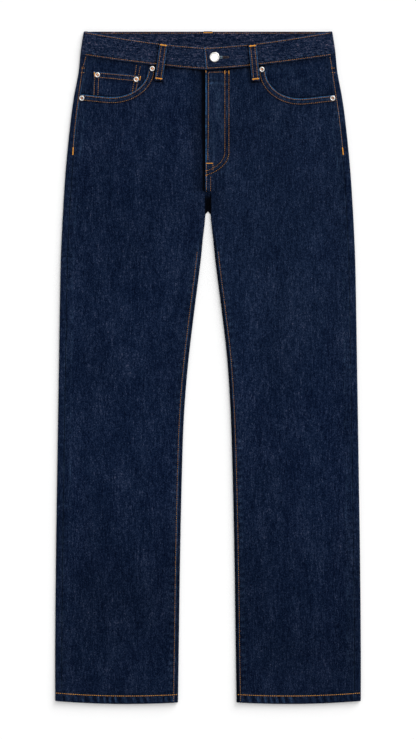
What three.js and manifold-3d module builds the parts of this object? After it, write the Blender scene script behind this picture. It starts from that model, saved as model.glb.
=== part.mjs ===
// Straight leg jeans laid flat on their back, face up, as a three.js scene graph.
//
// Units are millimetres. +X is to the right of someone looking down on the front, +Y runs from
// the hems to the waist and +Z is up, off the surface that the jeans lie on. The origin is in the
// middle of the garment, on that surface. "left" and "right" in the names are the looker's.
//
// Each cloth piece is a closed wall between an outer and an inner grid of points. A leg's section
// is a flattened tube: the front panel lies on the back panel, and the back panel comes round both
// folded edges to meet the front at the outseam and the inseam.

import * as THREE from 'three';
import { mergeVertices } from 'three/addons/utils/BufferGeometryUtils.js';
import Module from 'manifold-3d';

const wasm = await Module();
wasm.setup();

// ---------------------------------------------------------------- driving dimensions

const cloth = 1.2; // one layer of denim
const seamGap = 0.3; // space between neighbouring pieces
const halfSeam = seamGap / 2;

const hipTop = 6.0; // height of the front panel over the hips, and of every folded edge
const legTop = 3.6; // height of the front panel along the middle of a leg
const hemTop = 7.4; // height at the hems, where the turned cloth doubles up
const edgeRise = { near: 6, far: 46 }; // how far in from a fold the cloth comes down to the middle

const outseamIn = 10.8; // outseam, in from the outer fold
const inseamFlat = 1.5; // flat run of back cloth between the inner fold and the inseam
const joinIn = 4; // where the front panel's inner end starts, past the fold's end

const bandWall = 2.4; // waistband: two layers and the seam allowances between them
const bandTop = 7.2;
const bandBack = { bottom: 513, top: 551 };
const bandFront = { bottom: 488.4, bottomRise: 23, bottomPower: 1.3, top: 525 };
const bandCurve = { half: 204, topRise: 26, topPower: 1.42 }; // half is half the waist, laid flat
const seatRise = 1.5; // the seat lies on its pockets and belt loops

const flyEdge = -4.5; // the right front laps over the left front up to here
const underlapEnd = 5; // the left front ends here, beneath the right one
const flyTop = 6.5;
const underTop = 5.0; // top of the left front where it runs beneath the right front

// the waistband's lapped ends; the upper one slants from endFoot to endHead
const overlap = { endFoot: -3.6, endHead: -6.6, underEnd: 36, top: 9.3, flat: 36, run: 28 };
const buttonAt = { x: 10.8, y: 508.4, radius: 8.3, shank: 2.2, height: 3.1 };
const buttonhole = { from: 8.3, to: 33, width: 1.6, eyelet: 3.0 };

const hem = { inner: -549.5, outer: -547, bow: 3.65, backBow: 1.0, height: 15, wall: 2.0 };

const crotch = { gapTop: 252, seatEnd: 256, frontEnd: 285, closed: 292, lapped: 300 };
const inseamTurn = { from: 200, to: 250 }; // the inseam moves on to the fold's middle between these

const yoke = { side: 487, centre: 442 }; // heights of the yoke seam
const coin = { topLeft: [-187.5, 485.6], topRight: [-109.5, 478.2], footLeft: -189.5, footRight: -117.5 };
const loopSize = { width: 13.3, thickness: 2.0, hidden: 1.2, drop: 63 };

// half widths from the centre line, at heights along the garment
const outline = [
  { y: -548, outer: 250.8, inner: 48.0 },
  { y: -460, outer: 250.9, inner: 46.7 },
  { y: -303, outer: 249.5, inner: 44.4 },
  { y: -145, outer: 247.1, inner: 40.8 },
  { y: -67, outer: 245.9, inner: 37.7 },
  { y: 12, outer: 244.6, inner: 31.8 },
  { y: 91, outer: 243.4, inner: 22.7 },
  { y: 170, outer: 241.9, inner: 12.6 },
  { y: 209, outer: 240.4, inner: 8.6 },
  { y: 253, outer: 238.2, inner: 4.2 },
  { y: 327, outer: 233.3, inner: 4.0 },
  { y: 406, outer: 225.3, inner: 4.0 },
  { y: 445, outer: 219.8, inner: 4.0 },
  { y: 485, outer: 212.4, inner: 4.0 },
  { y: 520, outer: 208.8, inner: 4.0 },
  { y: 552, outer: 203.8, inner: 4.0 },
];
const gapShift = { x: -1.2, from: 60, to: -120 }; // the left leg lies a little further out

// front pocket openings: quarter ellipse from the waistband, then a slight climb to the outseam
const pocketMouth = {
  left: { low: 158, lowY: 443.3, reach: 60, height: 45.7, climb: 0.108 },
  right: { low: 151, lowY: 440.9, reach: 57, height: 47.1, climb: 0.118 },
};
const mouthSoften = 8;
const facingTuck = { under: 12, inner: 9, fadeFrom: 190, fadeTo: 176 };

// back pockets, pressed flat between the seat and the surface
const backPocket = { inner: 52, outer: 196, top: 436, tilt: 10, narrow: 9, sideFoot: 305, point: 282 };

// soft folds in the front: centre, direction (degrees from +X), half length, half width, height
const creases = [
  { x: -48, y: 262, turn: 24, length: 62, width: 11, height: 0.8 },
  { x: -70, y: 214, turn: 38, length: 70, width: 14, height: -0.6 },
  { x: 52, y: 258, turn: -22, length: 58, width: 11, height: 0.7 },
  { x: 84, y: 206, turn: -40, length: 64, width: 15, height: -0.5 },
  { x: 96, y: 52, turn: 8, length: 46, width: 15, height: 0.6 },
  { x: -150, y: -44, turn: -10, length: 52, width: 16, height: 0.5 },
  { x: 150, y: -250, turn: 14, length: 60, width: 18, height: 0.5 },
  { x: -120, y: -330, turn: -6, length: 56, width: 18, height: 0.45 },
];

const rivetSize = { radius: 4.4, height: 1.3, burr: 2.0 };
const rivets = [
  { x: -91.3, y: 490.0, on: 'front' },
  { x: 88.4, y: 488.7, on: 'front' },
  { x: -207.0, y: 441.5, on: 'front' },
  { x: 204.5, y: 441.5, on: 'front' },
  { x: -181.4, y: 479.7, on: 'coin' },
  { x: -117.8, y: 472.5, on: 'coin' },
];

const frontLoops = [
  { name: 'belt_loop_front_left', top: [-72.5, 532], foot: [-81.2, 469.7] },
  { name: 'belt_loop_front_right', top: [72.7, 531], foot: [78.6, 468.9] },
];
const backLoops = [
  { name: 'belt_loop_back_left', x: -128, proud: -0.5 },
  { name: 'belt_loop_back_centre', x: 0, proud: 1 },
  { name: 'belt_loop_back_right', x: 128, proud: -0.5 },
];

// ---------------------------------------------------------------- small helpers

const { sin, cos, sqrt, abs, max, min, PI, exp } = Math;
const lerp = (a, b, t) => a + (b - a) * t;
const smooth = (from, to, value) => THREE.MathUtils.smoothstep((value - from) / (to - from), 0, 1);

// a smooth curve through a table's rows, by Hermite pieces
function curveThrough(rows, column) {
  const slope = rows.map((row, i) => {
    const a = rows[max(i - 1, 0)];
    const b = rows[min(i + 1, rows.length - 1)];
    return (b[column] - a[column]) / (b.y - a.y);
  });
  return (y) => {
    let i = 0;
    while (i < rows.length - 2 && y > rows[i + 1].y) i += 1;
    const a = rows[i];
    const b = rows[i + 1];
    const span = b.y - a.y;
    const t = min(max((y - a.y) / span, 0), 1);
    const rise = b[column] - a[column];
    const bend = t * (1 - t);
    return a[column] + rise * t * t * (3 - 2 * t)
      + span * bend * (slope[i] * (1 - t) - slope[i + 1] * t);
  };
}

const outerEdge = curveThrough(outline, 'outer');
const halfGap = curveThrough(outline, 'inner');
const innerEdge = (side, y) => halfGap(y) + side * gapShift.x * smooth(gapShift.from, gapShift.to, y);

// ---------------------------------------------------------------- heights of the cloth

function creaseHeight(x, y) {
  let height = 0;
  for (const crease of creases) {
    const turn = THREE.MathUtils.degToRad(crease.turn);
    const along = (x - crease.x) * cos(turn) + (y - crease.y) * sin(turn);
    const across = (y - crease.y) * cos(turn) - (x - crease.x) * sin(turn);
    height += crease.height * exp(-((along / crease.length) ** 2) - (across / crease.width) ** 2);
  }
  return height;
}

const foldHeight = (y) => lerp(hipTop, hemTop, smooth(-455, -535, y));

// top of the front cloth; x is measured from the centre, side is -1 or 1
function frontTop(side, x, y) {
  const ax = side * x;
  const fold = foldHeight(y);
  const hemward = smooth(-455, -535, y);
  const middle = lerp(lerp(legTop, hipTop, smooth(150, 320, y)), fold, hemward);
  const fromEdge = min(outerEdge(y) - ax, ax - innerEdge(side, y));
  const z = lerp(fold, middle, smooth(edgeRise.near, edgeRise.far, fromEdge));
  const open = smooth(edgeRise.near, edgeRise.near + 14, fromEdge);
  return z + creaseHeight(x, y) * open * (1 - smooth(300, 340, y));
}

// lift of the back cloth over what it lies on; part is 0 at the centre and 1 at the outer fold
function seatLift(part, y) {
  const outerFall = 1 - smooth(0.93, 0.985, part);
  const innerFall = (1 - smooth(0.14, 0.2, part)) * (1 - smooth(425, 441, y));
  return seatRise * outerFall * smooth(251, 268, y) * (1 - innerFall);
}

// ---------------------------------------------------------------- edges of the pieces

const bandPart = (x) => min(abs(x) / bandCurve.half, 1);
const bandFoot = (x) => bandFront.bottom + bandFront.bottomRise * bandPart(x) ** bandFront.bottomPower;
const bandHead = (x) => bandFront.top + bandCurve.topRise * bandPart(x) ** bandCurve.topPower;

function mouthEdge(side, ax) {
  const mouth = side < 0 ? pocketMouth.left : pocketMouth.right;
  if (ax >= mouth.low) {
    const past = ax - mouth.low;
    return mouth.lowY + mouth.climb * (past - mouthSoften * (1 - exp(-past / mouthSoften)));
  }
  const part = min((mouth.low - ax) / mouth.reach, 1);
  return mouth.lowY + mouth.height * (1 - sqrt(1 - part * part));
}

function frontPanelTop(side, ax) {
  const mouth = side < 0 ? pocketMouth.left : pocketMouth.right;
  const band = bandFoot(ax) - seamGap;
  return ax < mouth.low - mouth.reach ? band : min(mouthEdge(side, ax), band);
}

function hemEdge(side, x, isBack) {
  const from = innerEdge(side, hem.inner);
  const part = min(max((side * x - from) / (outerEdge(hem.outer) - from), 0), 1);
  const bow = isBack ? hem.backBow : hem.bow;
  return lerp(hem.inner, hem.outer, part) - bow * 4 * part * (1 - part);
}

const yokeSeam = (ax, isBack) => (isBack ? lerp(yoke.centre, yoke.side, min(ax / 216, 1)) : yoke.side);

// ---------------------------------------------------------------- solids from grids

// A closed wall between two matching grids of [x, y, z] points, outer[i][j] and inner[i][j].
// With loop, the last column joins the first.
function wall(outer, inner, loop = false) {
  const columns = outer.length;
  const rows = outer[0].length;
  const positions = [];
  const index = [];
  for (const grid of [outer, inner]) {
    for (const column of grid) {
      for (const point of column) positions.push(...point);
    }
  }
  const at = (layer, i, j) => layer * columns * rows + (i % columns) * rows + j;
  const quad = (a, b, c, d) => index.push(a, b, c, a, c, d);
  const steps = loop ? columns : columns - 1;
  for (let i = 0; i < steps; i += 1) {
    for (let j = 0; j < rows - 1; j += 1) {
      quad(at(0, i, j), at(0, i + 1, j), at(0, i + 1, j + 1), at(0, i, j + 1));
      quad(at(1, i, j + 1), at(1, i + 1, j + 1), at(1, i + 1, j), at(1, i, j));
    }
    quad(at(1, i, 0), at(1, i + 1, 0), at(0, i + 1, 0), at(0, i, 0));
    quad(at(0, i, rows - 1), at(0, i + 1, rows - 1), at(1, i + 1, rows - 1), at(1, i, rows - 1));
  }
  if (!loop) {
    for (let j = 0; j < rows - 1; j += 1) {
      quad(at(0, 0, j), at(0, 0, j + 1), at(1, 0, j + 1), at(1, 0, j));
      const end = columns - 1;
      quad(at(1, end, j), at(1, end, j + 1), at(0, end, j + 1), at(0, end, j));
    }
  }
  return solid(positions, index);
}

function solid(positions, index) {
  const geometry = new THREE.BufferGeometry();
  geometry.setAttribute('position', new THREE.Float32BufferAttribute(positions, 3));
  geometry.setIndex(volume(positions, index) < 0 ? index.reverse() : index);
  geometry.computeVertexNormals();
  return geometry;
}

function volume(positions, index) {
  const [a, b, c] = [new THREE.Vector3(), new THREE.Vector3(), new THREE.Vector3()];
  let total = 0;
  for (let k = 0; k < index.length; k += 3) {
    a.fromArray(positions, index[k] * 3);
    b.fromArray(positions, index[k + 1] * 3);
    c.fromArray(positions, index[k + 2] * 3);
    total += a.dot(b.cross(c)) / 6;
  }
  return total;
}

// a level plate with the outline given by its corners, from z0 to z1
function plate(corners, z0, z1) {
  const shape = new THREE.Shape(corners.map(([x, y]) => new THREE.Vector2(x, y)));
  const geometry = new THREE.ExtrudeGeometry(shape, { depth: z1 - z0, bevelEnabled: false });
  return geometry.translate(0, 0, z0);
}

function turned(profile, segments) {
  const points = profile.map(([radius, z]) => new THREE.Vector2(radius, z));
  return new THREE.LatheGeometry(points, segments).rotateX(PI / 2);
}

function asManifold(geometry) {
  const bare = geometry.clone();
  bare.deleteAttribute('normal');
  if (bare.getAttribute('uv')) bare.deleteAttribute('uv');
  const merged = mergeVertices(bare, 1e-3);
  return new wasm.Manifold(new wasm.Mesh({
    numProp: 3,
    vertProperties: new Float32Array(merged.getAttribute('position').array),
    triVerts: new Uint32Array(merged.getIndex().array),
  }));
}

function fromManifold(manifold) {
  const mesh = manifold.getMesh();
  return solid(Array.from(mesh.vertProperties), Array.from(mesh.triVerts));
}

// ---------------------------------------------------------------- sections

// A point of the inner fold, way millimetres round from the back: up the half circle and then
// outwards over the top. depth is how far inside the cloth's outer face the point is.
function innerFoldPoint(side, y, way, depth) {
  const radius = foldHeight(y) / 2;
  const centre = innerEdge(side, y) + radius;
  const half = PI * radius;
  const angle = min(max(way, 0), half) / radius;
  const past = max(way - half, 0);
  const ax = centre - (radius - depth) * sin(angle) + past;
  return [side * ax, y, radius - (radius - depth) * cos(angle)];
}

// where the inseam is on that way round
function inseamWay(y) {
  const half = PI * foldHeight(y) / 2;
  return lerp(half + inseamFlat, half / 2, smooth(inseamTurn.from, inseamTurn.to, y));
}

// inner end of a front panel, as points from the seam outwards
function frontInnerEnd(side, y, depth, count) {
  const radius = foldHeight(y) / 2;
  const half = PI * radius;
  const points = [];
  for (let k = 0; k < count; k += 1) {
    const part = k / (count - 1);
    if (y >= crotch.closed) {
      // above the crotch: level, the right front lapped over the left one
      const laid = y >= crotch.lapped ? underlapEnd : flyEdge - 1.1;
      const end = side > 0 ? flyEdge : laid;
      const x = lerp(end, side > 0 ? 14 : -14, part);
      const z = side > 0 ? flyTop : lerp(underTop, hipTop, smooth(-6, -13, x));
      points.push([x, y, z - depth]);
    } else {
      const low = y > crotch.gapTop ? half * 0.345 : inseamWay(y) + halfSeam;
      points.push(innerFoldPoint(side, y, lerp(low, half + joinIn, part), depth));
    }
  }
  return points;
}

// heights of the section rows that the front and back panels of a leg share
const hemRow = -549;
const legRows = [-530, -470, -390, -300, -210, -125, -50, 20, 80, 130, 170, 200, 226, 251, 256];

// ---------------------------------------------------------------- front panels

const frontRows = [...legRows, 285, 292, 300, 330, 380, 425];
const frontColumns = [24, 48, 72, 90, 98.5, 100, 103, 109, 119, 134, 153, 178, null];
const frontEndPoints = 4;

const frontSeamX = (y) => outerEdge(y) - outseamIn - seamGap;

// where a column of the front panel, named by its place at the waist, is at height y; the last
// one runs along the outseam
function frontColumnX(side, waistX, y) {
  const start = y >= crotch.closed ? 14 : innerEdge(side, y) + foldHeight(y) / 2 + joinIn;
  const share = waistX === null ? 1 : (waistX - 14) / (frontSeamX(488) - 14);
  return lerp(start, frontSeamX(y), share);
}

// top end of that column, on the waistband seam or on the pocket mouth
function frontColumnEnd(side, waistX) {
  let y = 480;
  for (let pass = 0; pass < 6; pass += 1) y = frontPanelTop(side, frontColumnX(side, waistX, y));
  return [frontColumnX(side, waistX, y), y];
}

// height of the front panel's edge as its facets have it
function panelEdge(side, ax) {
  const ends = frontColumns.map((waistX) => frontColumnEnd(side, waistX));
  let i = 0;
  while (i < ends.length - 2 && ax > ends[i + 1][0]) i += 1;
  const [a, b] = [ends[i], ends[i + 1]];
  return lerp(a[1], b[1], min(max((ax - a[0]) / (b[0] - a[0]), 0), 1));
}

function frontPanel(side) {
  const level = (depth) => {
    const columns = [];
    for (let k = 0; k < frontEndPoints; k += 1) {
      const rowPoint = (y) => frontInnerEnd(side, y, depth, frontEndPoints)[k];
      const column = [hemRow, ...frontRows].map(rowPoint);
      column[0][1] = hemEdge(side, column[0][0], false);
      const x = rowPoint(480)[0];
      for (const part of [0.5, 1]) {
        const point = rowPoint(lerp(425, bandFoot(x) - seamGap, part));
        column.push(point);
      }
      columns.push(column);
    }
    for (const waistX of frontColumns) {
      const place = (y) => frontColumnX(side, waistX, y);
      const top = (ax, y) => {
        const toFly = side > 0 && y >= crotch.closed ? 1 - smooth(14, 40, ax) : 0;
        return lerp(frontTop(side, side * ax, y), flyTop, toFly) - depth;
      };
      const column = [hemRow, ...frontRows].map((y) => [side * place(y), y, top(place(y), y)]);
      column[0][1] = hemEdge(side, column[0][0], false);
      const edge = frontColumnEnd(side, waistX)[1];
      for (const part of [0.5, 1]) {
        const y = lerp(425, edge, part);
        column.push([side * place(y), y, top(place(y), y)]);
      }
      columns.push(column);
    }
    return columns;
  };
  return wall(level(0), level(cloth));
}

// ---------------------------------------------------------------- back panels and yokes

const backRows = [...legRows, 268, 285, 300, 362, 425];
const backParts = [0.985, 0.93, 0.75, 0.56, 0.38, 0.2, 0.14];
const foldAngles = [30, 60, 90, 120, 150, 180];
const backEndPoints = 5;

// one column of the back cloth's section; kind says which stretch of the section it is on
function backStations() {
  const stations = [{ kind: 'seam' }, { kind: 'fold', angle: 0 }];
  for (const angle of foldAngles) stations.push({ kind: 'fold', angle });
  for (const part of backParts) stations.push({ kind: 'under', part });
  for (let k = 0; k < backEndPoints; k += 1) stations.push({ kind: 'end', part: k / (backEndPoints - 1) });
  return stations;
}

function backPoint(side, station, y, depth) {
  const fold = foldHeight(y);
  const radius = fold / 2;
  const reach = outerEdge(y) - radius;
  if (station.kind === 'seam') return [side * (outerEdge(y) - outseamIn), y, fold - depth];
  if (station.kind === 'fold') {
    const angle = THREE.MathUtils.degToRad(station.angle);
    const arm = radius - depth;
    return [side * (reach + arm * sin(angle)), y, radius + arm * cos(angle)];
  }
  const open = smooth(crotch.gapTop - 1, crotch.seatEnd, y);
  const centre = lerp(innerEdge(side, y) + radius, halfSeam + PI * radius / 2, open);
  if (station.kind === 'under') {
    const ax = lerp(centre, reach, station.part);
    return [side * ax, y, seatLift(station.part, y) + depth];
  }
  const way = station.part * (y > crotch.gapTop ? PI * radius / 2 : inseamWay(y) - halfSeam);
  if (y >= crotch.seatEnd) return [side * (centre - way), y, seatLift(0, y) + depth];
  return innerFoldPoint(side, y, way, depth);
}

const isUnder = (station) => station.kind !== 'seam' && !(station.kind === 'fold' && station.angle < 90);

function backPanel(side) {
  const level = (depth) => backStations().map((station) => {
    const column = [hemRow, ...backRows].map((y) => backPoint(side, station, y, depth));
    column[0][1] = hemEdge(side, column[0][0], isUnder(station));
    const ax = abs(backPoint(side, station, yoke.side, depth)[0]);
    const edge = yokeSeam(ax, isUnder(station)) - halfSeam;
    for (const part of [0.5, 1]) column.push(backPoint(side, station, lerp(425, edge, part), depth));
    return column;
  });
  return wall(level(0), level(cloth));
}

function yokePanel(side) {
  const level = (depth) => backStations().map((station) => {
    const ax = abs(backPoint(side, station, yoke.side, depth)[0]);
    const headX = abs(backPoint(side, station, bandBack.bottom, depth)[0]);
    const foot = yokeSeam(ax, isUnder(station)) + halfSeam;
    const wrap = station.kind === 'fold' ? station.angle / 180 : 0;
    const flat = isUnder(station) && station.kind !== 'fold' ? 1 : wrap;
    const head = lerp(bandFoot(headX), bandBack.bottom, flat) - seamGap;
    return [0, 1 / 3, 2 / 3, 1].map((part) => backPoint(side, station, lerp(foot, head, part), depth));
  });
  return wall(level(0), level(cloth));
}

// ---------------------------------------------------------------- turned hems

// a ring just inside the leg's end: the panels' cloth turned up twice
function turnedHem(side) {
  const level = (depth) => {
    const ring = [];
    const y = hem.inner;
    const radius = foldHeight(y) / 2;
    const from = innerEdge(side, y) + radius;
    const to = outerEdge(y) - radius;
    const across = [0, 0.14, 0.32, 0.5, 0.68, 0.86, 1];
    const station = (ax, z, isBack) => {
      const foot = hemEdge(side, side * ax, isBack) + halfSeam;
      ring.push([foot, foot + hem.height].map((height) => [side * ax, height, z]));
    };
    const arm = radius - depth;
    for (const part of across) station(lerp(from, to, part), foldHeight(y) - depth, false);
    for (const angle of foldAngles.slice(0, -1)) {
      const turn = THREE.MathUtils.degToRad(angle);
      station(to + arm * sin(turn), radius + arm * cos(turn), angle >= 90);
    }
    for (const part of across) station(lerp(to, from, part), depth, true);
    for (const angle of foldAngles.slice(0, -1)) {
      const turn = THREE.MathUtils.degToRad(angle);
      station(from - arm * sin(turn), radius - arm * cos(turn), angle < 90);
    }
    return ring;
  };
  const start = cloth + seamGap;
  return wall(level(start), level(start + hem.wall), true);
}

// ---------------------------------------------------------------- waistband

// one long strip: from the underlap's end, round the left side, across the back and round the
// right side, to the end that laps over the front
function waistband() {
  const radius = bandTop / 2;
  const flatStops = [0.06, 0.12, 0.19, 0.3, 0.42, 0.55, 0.7, 0.86, 0.94, 1];
  const backStops = [0, 0.2, 0.4, 0.6, 0.8, 0.92, 1];
  const under = overlap.top - bandWall - seamGap;
  const leftTop = (x) => lerp(under, bandTop, smooth(-8, -42, x));
  const rightTop = (x) => lerp(overlap.top, bandTop, smooth(overlap.flat, overlap.flat + overlap.run, x));
  const lift = (part) => seatRise * (1 - smooth(0.92, 1, part));
  const level = (depth) => {
    const strip = [];
    const station = (side, part, backness, zAt, dx = 0) => {
      const column = [0, 0.5, 1].map((v) => {
        const nominal = part * (outerEdge(bandBack.bottom) - radius);
        const foot = lerp(bandFoot(nominal), bandBack.bottom, backness);
        const head = lerp(bandHead(nominal), bandBack.top, backness);
        const y = lerp(foot, head, v);
        const x = side * (part * (outerEdge(y) - radius) + dx);
        return [x, y, zAt(x)];
      });
      strip.push(column);
    };
    const foldRound = (side, angles) => {
      for (const angle of angles) {
        const turn = THREE.MathUtils.degToRad(angle);
        const arm = radius - depth;
        station(side, 1, angle / 180, () => radius + arm * cos(turn), arm * sin(turn));
      }
    };
    const straight = (footX, zAt, headX = footX) => {
      strip.push([0, 0.5, 1].map((v) => {
        const x = lerp(footX, headX, v);
        return [x, lerp(bandFoot(x), bandHead(x), v), zAt(x)];
      }));
    };
    const turns = foldAngles.slice(0, -1);
    for (const x of [overlap.underEnd, 22, 8, -4]) straight(x, (px) => leftTop(px) - depth);
    for (const part of flatStops) station(-1, part, 0, (x) => leftTop(x) - depth);
    foldRound(-1, turns);
    for (const part of [...backStops].reverse()) station(-1, part, 1, () => lift(part) + depth);
    for (const part of backStops.slice(1)) station(1, part, 1, () => lift(part) + depth);
    foldRound(1, [...turns].reverse());
    for (const part of [...flatStops].reverse()) station(1, part, 0, (x) => rightTop(x) - depth);
    straight(4, (px) => rightTop(px) - depth);
    straight(overlap.endFoot, (px) => rightTop(px) - depth, overlap.endHead);
    return strip;
  };
  const band = asManifold(wall(level(0), level(bandWall)));
  const cutFrom = under + seamGap / 2;
  const slit = new THREE.BoxGeometry(buttonhole.to - buttonhole.from, buttonhole.width, 6);
  slit.translate((buttonhole.from + buttonhole.to) / 2, buttonAt.y, cutFrom + 3);
  const eye = new THREE.CylinderGeometry(buttonhole.eyelet, buttonhole.eyelet, 6, 16).rotateX(PI / 2);
  eye.translate(buttonAt.x, buttonAt.y, cutFrom + 3);
  return fromManifold(band.subtract(asManifold(slit)).subtract(asManifold(eye)));
}

// ---------------------------------------------------------------- pocket pieces

const facingDrop = cloth + seamGap;

// top of the facing: just beneath the front panel, and level with the cloth round it at the seams
function facingTop(side, ax, y) {
  const toSeam = outerEdge(y) - outseamIn - ax;
  const toBand = bandFoot(ax) - y;
  const mouth = side < 0 ? pocketMouth.left : pocketMouth.right;
  const clear = smooth(4, 16, ax - (mouth.low - mouth.reach));
  const drop = smooth(1, 9, toSeam) * (1 - clear * (1 - smooth(0.5, 7, toBand)));
  return hipTop - facingDrop * drop;
}

function pocketFacing(side) {
  const mouth = side < 0 ? pocketMouth.left : pocketMouth.right;
  const inner = mouth.low - mouth.reach - facingTuck.inner;
  const stops = [inner, 97, 106, 118, 132, 150, 164, 176, 183, 190, 199, null];
  const rows = [0, 0.28, 0.52, 0.72, 0.86, 0.95, 1];
  const level = (depth) => stops.map((stop) => rows.map((row) => {
    const nominal = stop ?? frontSeamX(450);
    const tuck = facingTuck.under * smooth(facingTuck.fadeFrom, facingTuck.fadeTo, nominal);
    const foot = nominal < mouth.low - mouth.reach + 2
      ? bandFoot(nominal) - 24
      : panelEdge(side, nominal) - tuck + seamGap * (1 - tuck / facingTuck.under);
    const y = lerp(foot, bandFoot(nominal) - seamGap, row);
    const ax = stop ?? frontSeamX(y);
    const covered = y < panelEdge(side, ax) + 1 || ax < mouth.low - mouth.reach;
    const z = covered && ax < facingTuck.fadeFrom ? hipTop - facingDrop : facingTop(side, ax, y);
    return [side * ax, y, z - depth];
  }));
  return wall(level(0), level(cloth));
}

function coinPocket() {
  const across = [0, 0.15, 0.32, 0.48, 0.62, 0.74, 0.84, 0.92, 1];
  const rows = [0, 0.3, 0.6, 0.85, 1];
  const lift = cloth + seamGap;
  const level = (depth) => across.map((part) => rows.map((row) => {
    const topX = lerp(coin.topLeft[0], coin.topRight[0], part);
    const topY = lerp(coin.topLeft[1], coin.topRight[1], part);
    const footX = lerp(coin.footLeft, coin.footRight, part);
    const footY = panelEdge(-1, -footX) + seamGap;
    const x = lerp(footX, topX, row);
    const y = lerp(footY, topY, row);
    return [x, y, facingTop(-1, -x, y) + lift - depth];
  }));
  return wall(level(0), level(cloth));
}

function backPocketPlate(side) {
  const { inner, outer, top, tilt, narrow, sideFoot, point } = backPocket;
  const corners = [
    [inner, top],
    [inner + narrow, sideFoot],
    [(inner + outer) / 2, point],
    [outer - narrow, sideFoot + tilt],
    [outer, top + tilt],
  ];
  return plate(corners.map(([x, y]) => [side * x, y]), 0, cloth);
}

// ---------------------------------------------------------------- belt loops

function frontLoop({ top, foot }) {
  const bandEdge = bandFoot((top[0] + foot[0]) / 2);
  const onBand = bandTop + seamGap;
  const onPanel = hipTop + seamGap;
  const rows = [0, 0.1, 0.2, 0.3, 0.4, 0.55, 0.7, 0.85, 1];
  const level = (depth) => [-0.5, -0.17, 0.17, 0.5].map((across) => rows.map((row) => {
    const x = lerp(foot[0], top[0], row) + across * loopSize.width;
    const y = lerp(foot[1], top[1], row);
    const under = lerp(onPanel, onBand, smooth(bandEdge - 13, bandEdge - 3, y));
    const arch = 0.5 * sin(PI * row);
    return [x, y, under + arch + loopSize.thickness - depth];
  }));
  return wall(level(0), level(loopSize.thickness));
}

function backLoop({ x, proud }) {
  const half = loopSize.width / 2;
  const top = bandBack.top + proud;
  const foot = top - loopSize.drop;
  const corners = [[x - half, foot], [x + half, foot], [x + half, top], [x - half, top]];
  return plate(corners, 0, loopSize.hidden);
}

// ---------------------------------------------------------------- metal parts

// head with a domed rim on a shank that goes through the buttonhole
function button() {
  const { radius, shank, height } = buttonAt;
  const foot = overlap.top - bandWall;
  const seat = overlap.top + seamGap;
  const profile = [
    [0, foot], [shank, foot], [shank, seat], [radius - 0.8, seat], [radius, seat + 0.7],
    [radius, seat + 1.6], [radius - 0.9, seat + height - 0.3], [radius - 2.2, seat + height],
    [radius - 3.2, seat + height - 0.5], [0, seat + height - 0.5],
  ];
  return turned(profile, 24);
}

function rivetRing() {
  const { radius, height, burr } = rivetSize;
  const inner = burr + seamGap;
  const profile = [
    [inner, 0], [radius, 0], [radius, 0.4], [radius - 0.7, height - 0.2], [radius - 1.3, height],
    [inner, height - 0.4], [inner, 0],
  ];
  return turned(profile, 16);
}

function rivetBurr() {
  const { height, burr } = rivetSize;
  const profile = [[0, 0], [burr, 0], [burr, height - 0.4], [burr - 0.7, height + 0.1], [0, height + 0.2]];
  return turned(profile, 10);
}

// ---------------------------------------------------------------- the scene graph

const denim = { color: 0x121e34, roughness: 0.92, metalness: 0 };
const bandDenim = { color: 0x1a2539, roughness: 0.92, metalness: 0 };
const nickel = { color: 0xd2cfc8, roughness: 0.34, metalness: 1 };
const copper = { color: 0xa8643a, roughness: 0.4, metalness: 1 };

const group = new THREE.Group();

function add(name, geometry, look, position = [0, 0, 0]) {
  const bare = geometry.clone();
  if (bare.getAttribute('uv')) bare.deleteAttribute('uv');
  const mesh = new THREE.Mesh(bare, new THREE.MeshStandardMaterial(look));
  mesh.name = name;
  mesh.position.set(...position);
  group.add(mesh);
}

for (const [name, side] of [['left', -1], ['right', 1]]) {
  add(`front_${name}`, frontPanel(side), denim);
  add(`back_${name}`, backPanel(side), denim);
  add(`yoke_${name}`, yokePanel(side), denim);
  add(`hem_${name}`, turnedHem(side), denim);
  add(`pocket_facing_${name}`, pocketFacing(side), denim);
  add(`back_pocket_${name}`, backPocketPlate(side), denim);
}
add('coin_pocket', coinPocket(), denim);
add('waistband', waistband(), bandDenim);
for (const loop of frontLoops) add(loop.name, frontLoop(loop), bandDenim);
for (const loop of backLoops) add(loop.name, backLoop(loop), bandDenim);
add('button', button(), nickel, [buttonAt.x, buttonAt.y, 0]);
rivets.forEach((rivet, i) => {
  const seat = hipTop + seamGap;
  add(`rivet_${i + 1}`, rivetRing(), nickel, [rivet.x, rivet.y, seat]);
  add(`rivet_burr_${i + 1}`, rivetBurr(), copper, [rivet.x, rivet.y, seat]);
});

export default group;
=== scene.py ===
import functools
import math

import bpy
import numpy as np
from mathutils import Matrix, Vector
from mathutils.bvhtree import BVHTree


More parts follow.
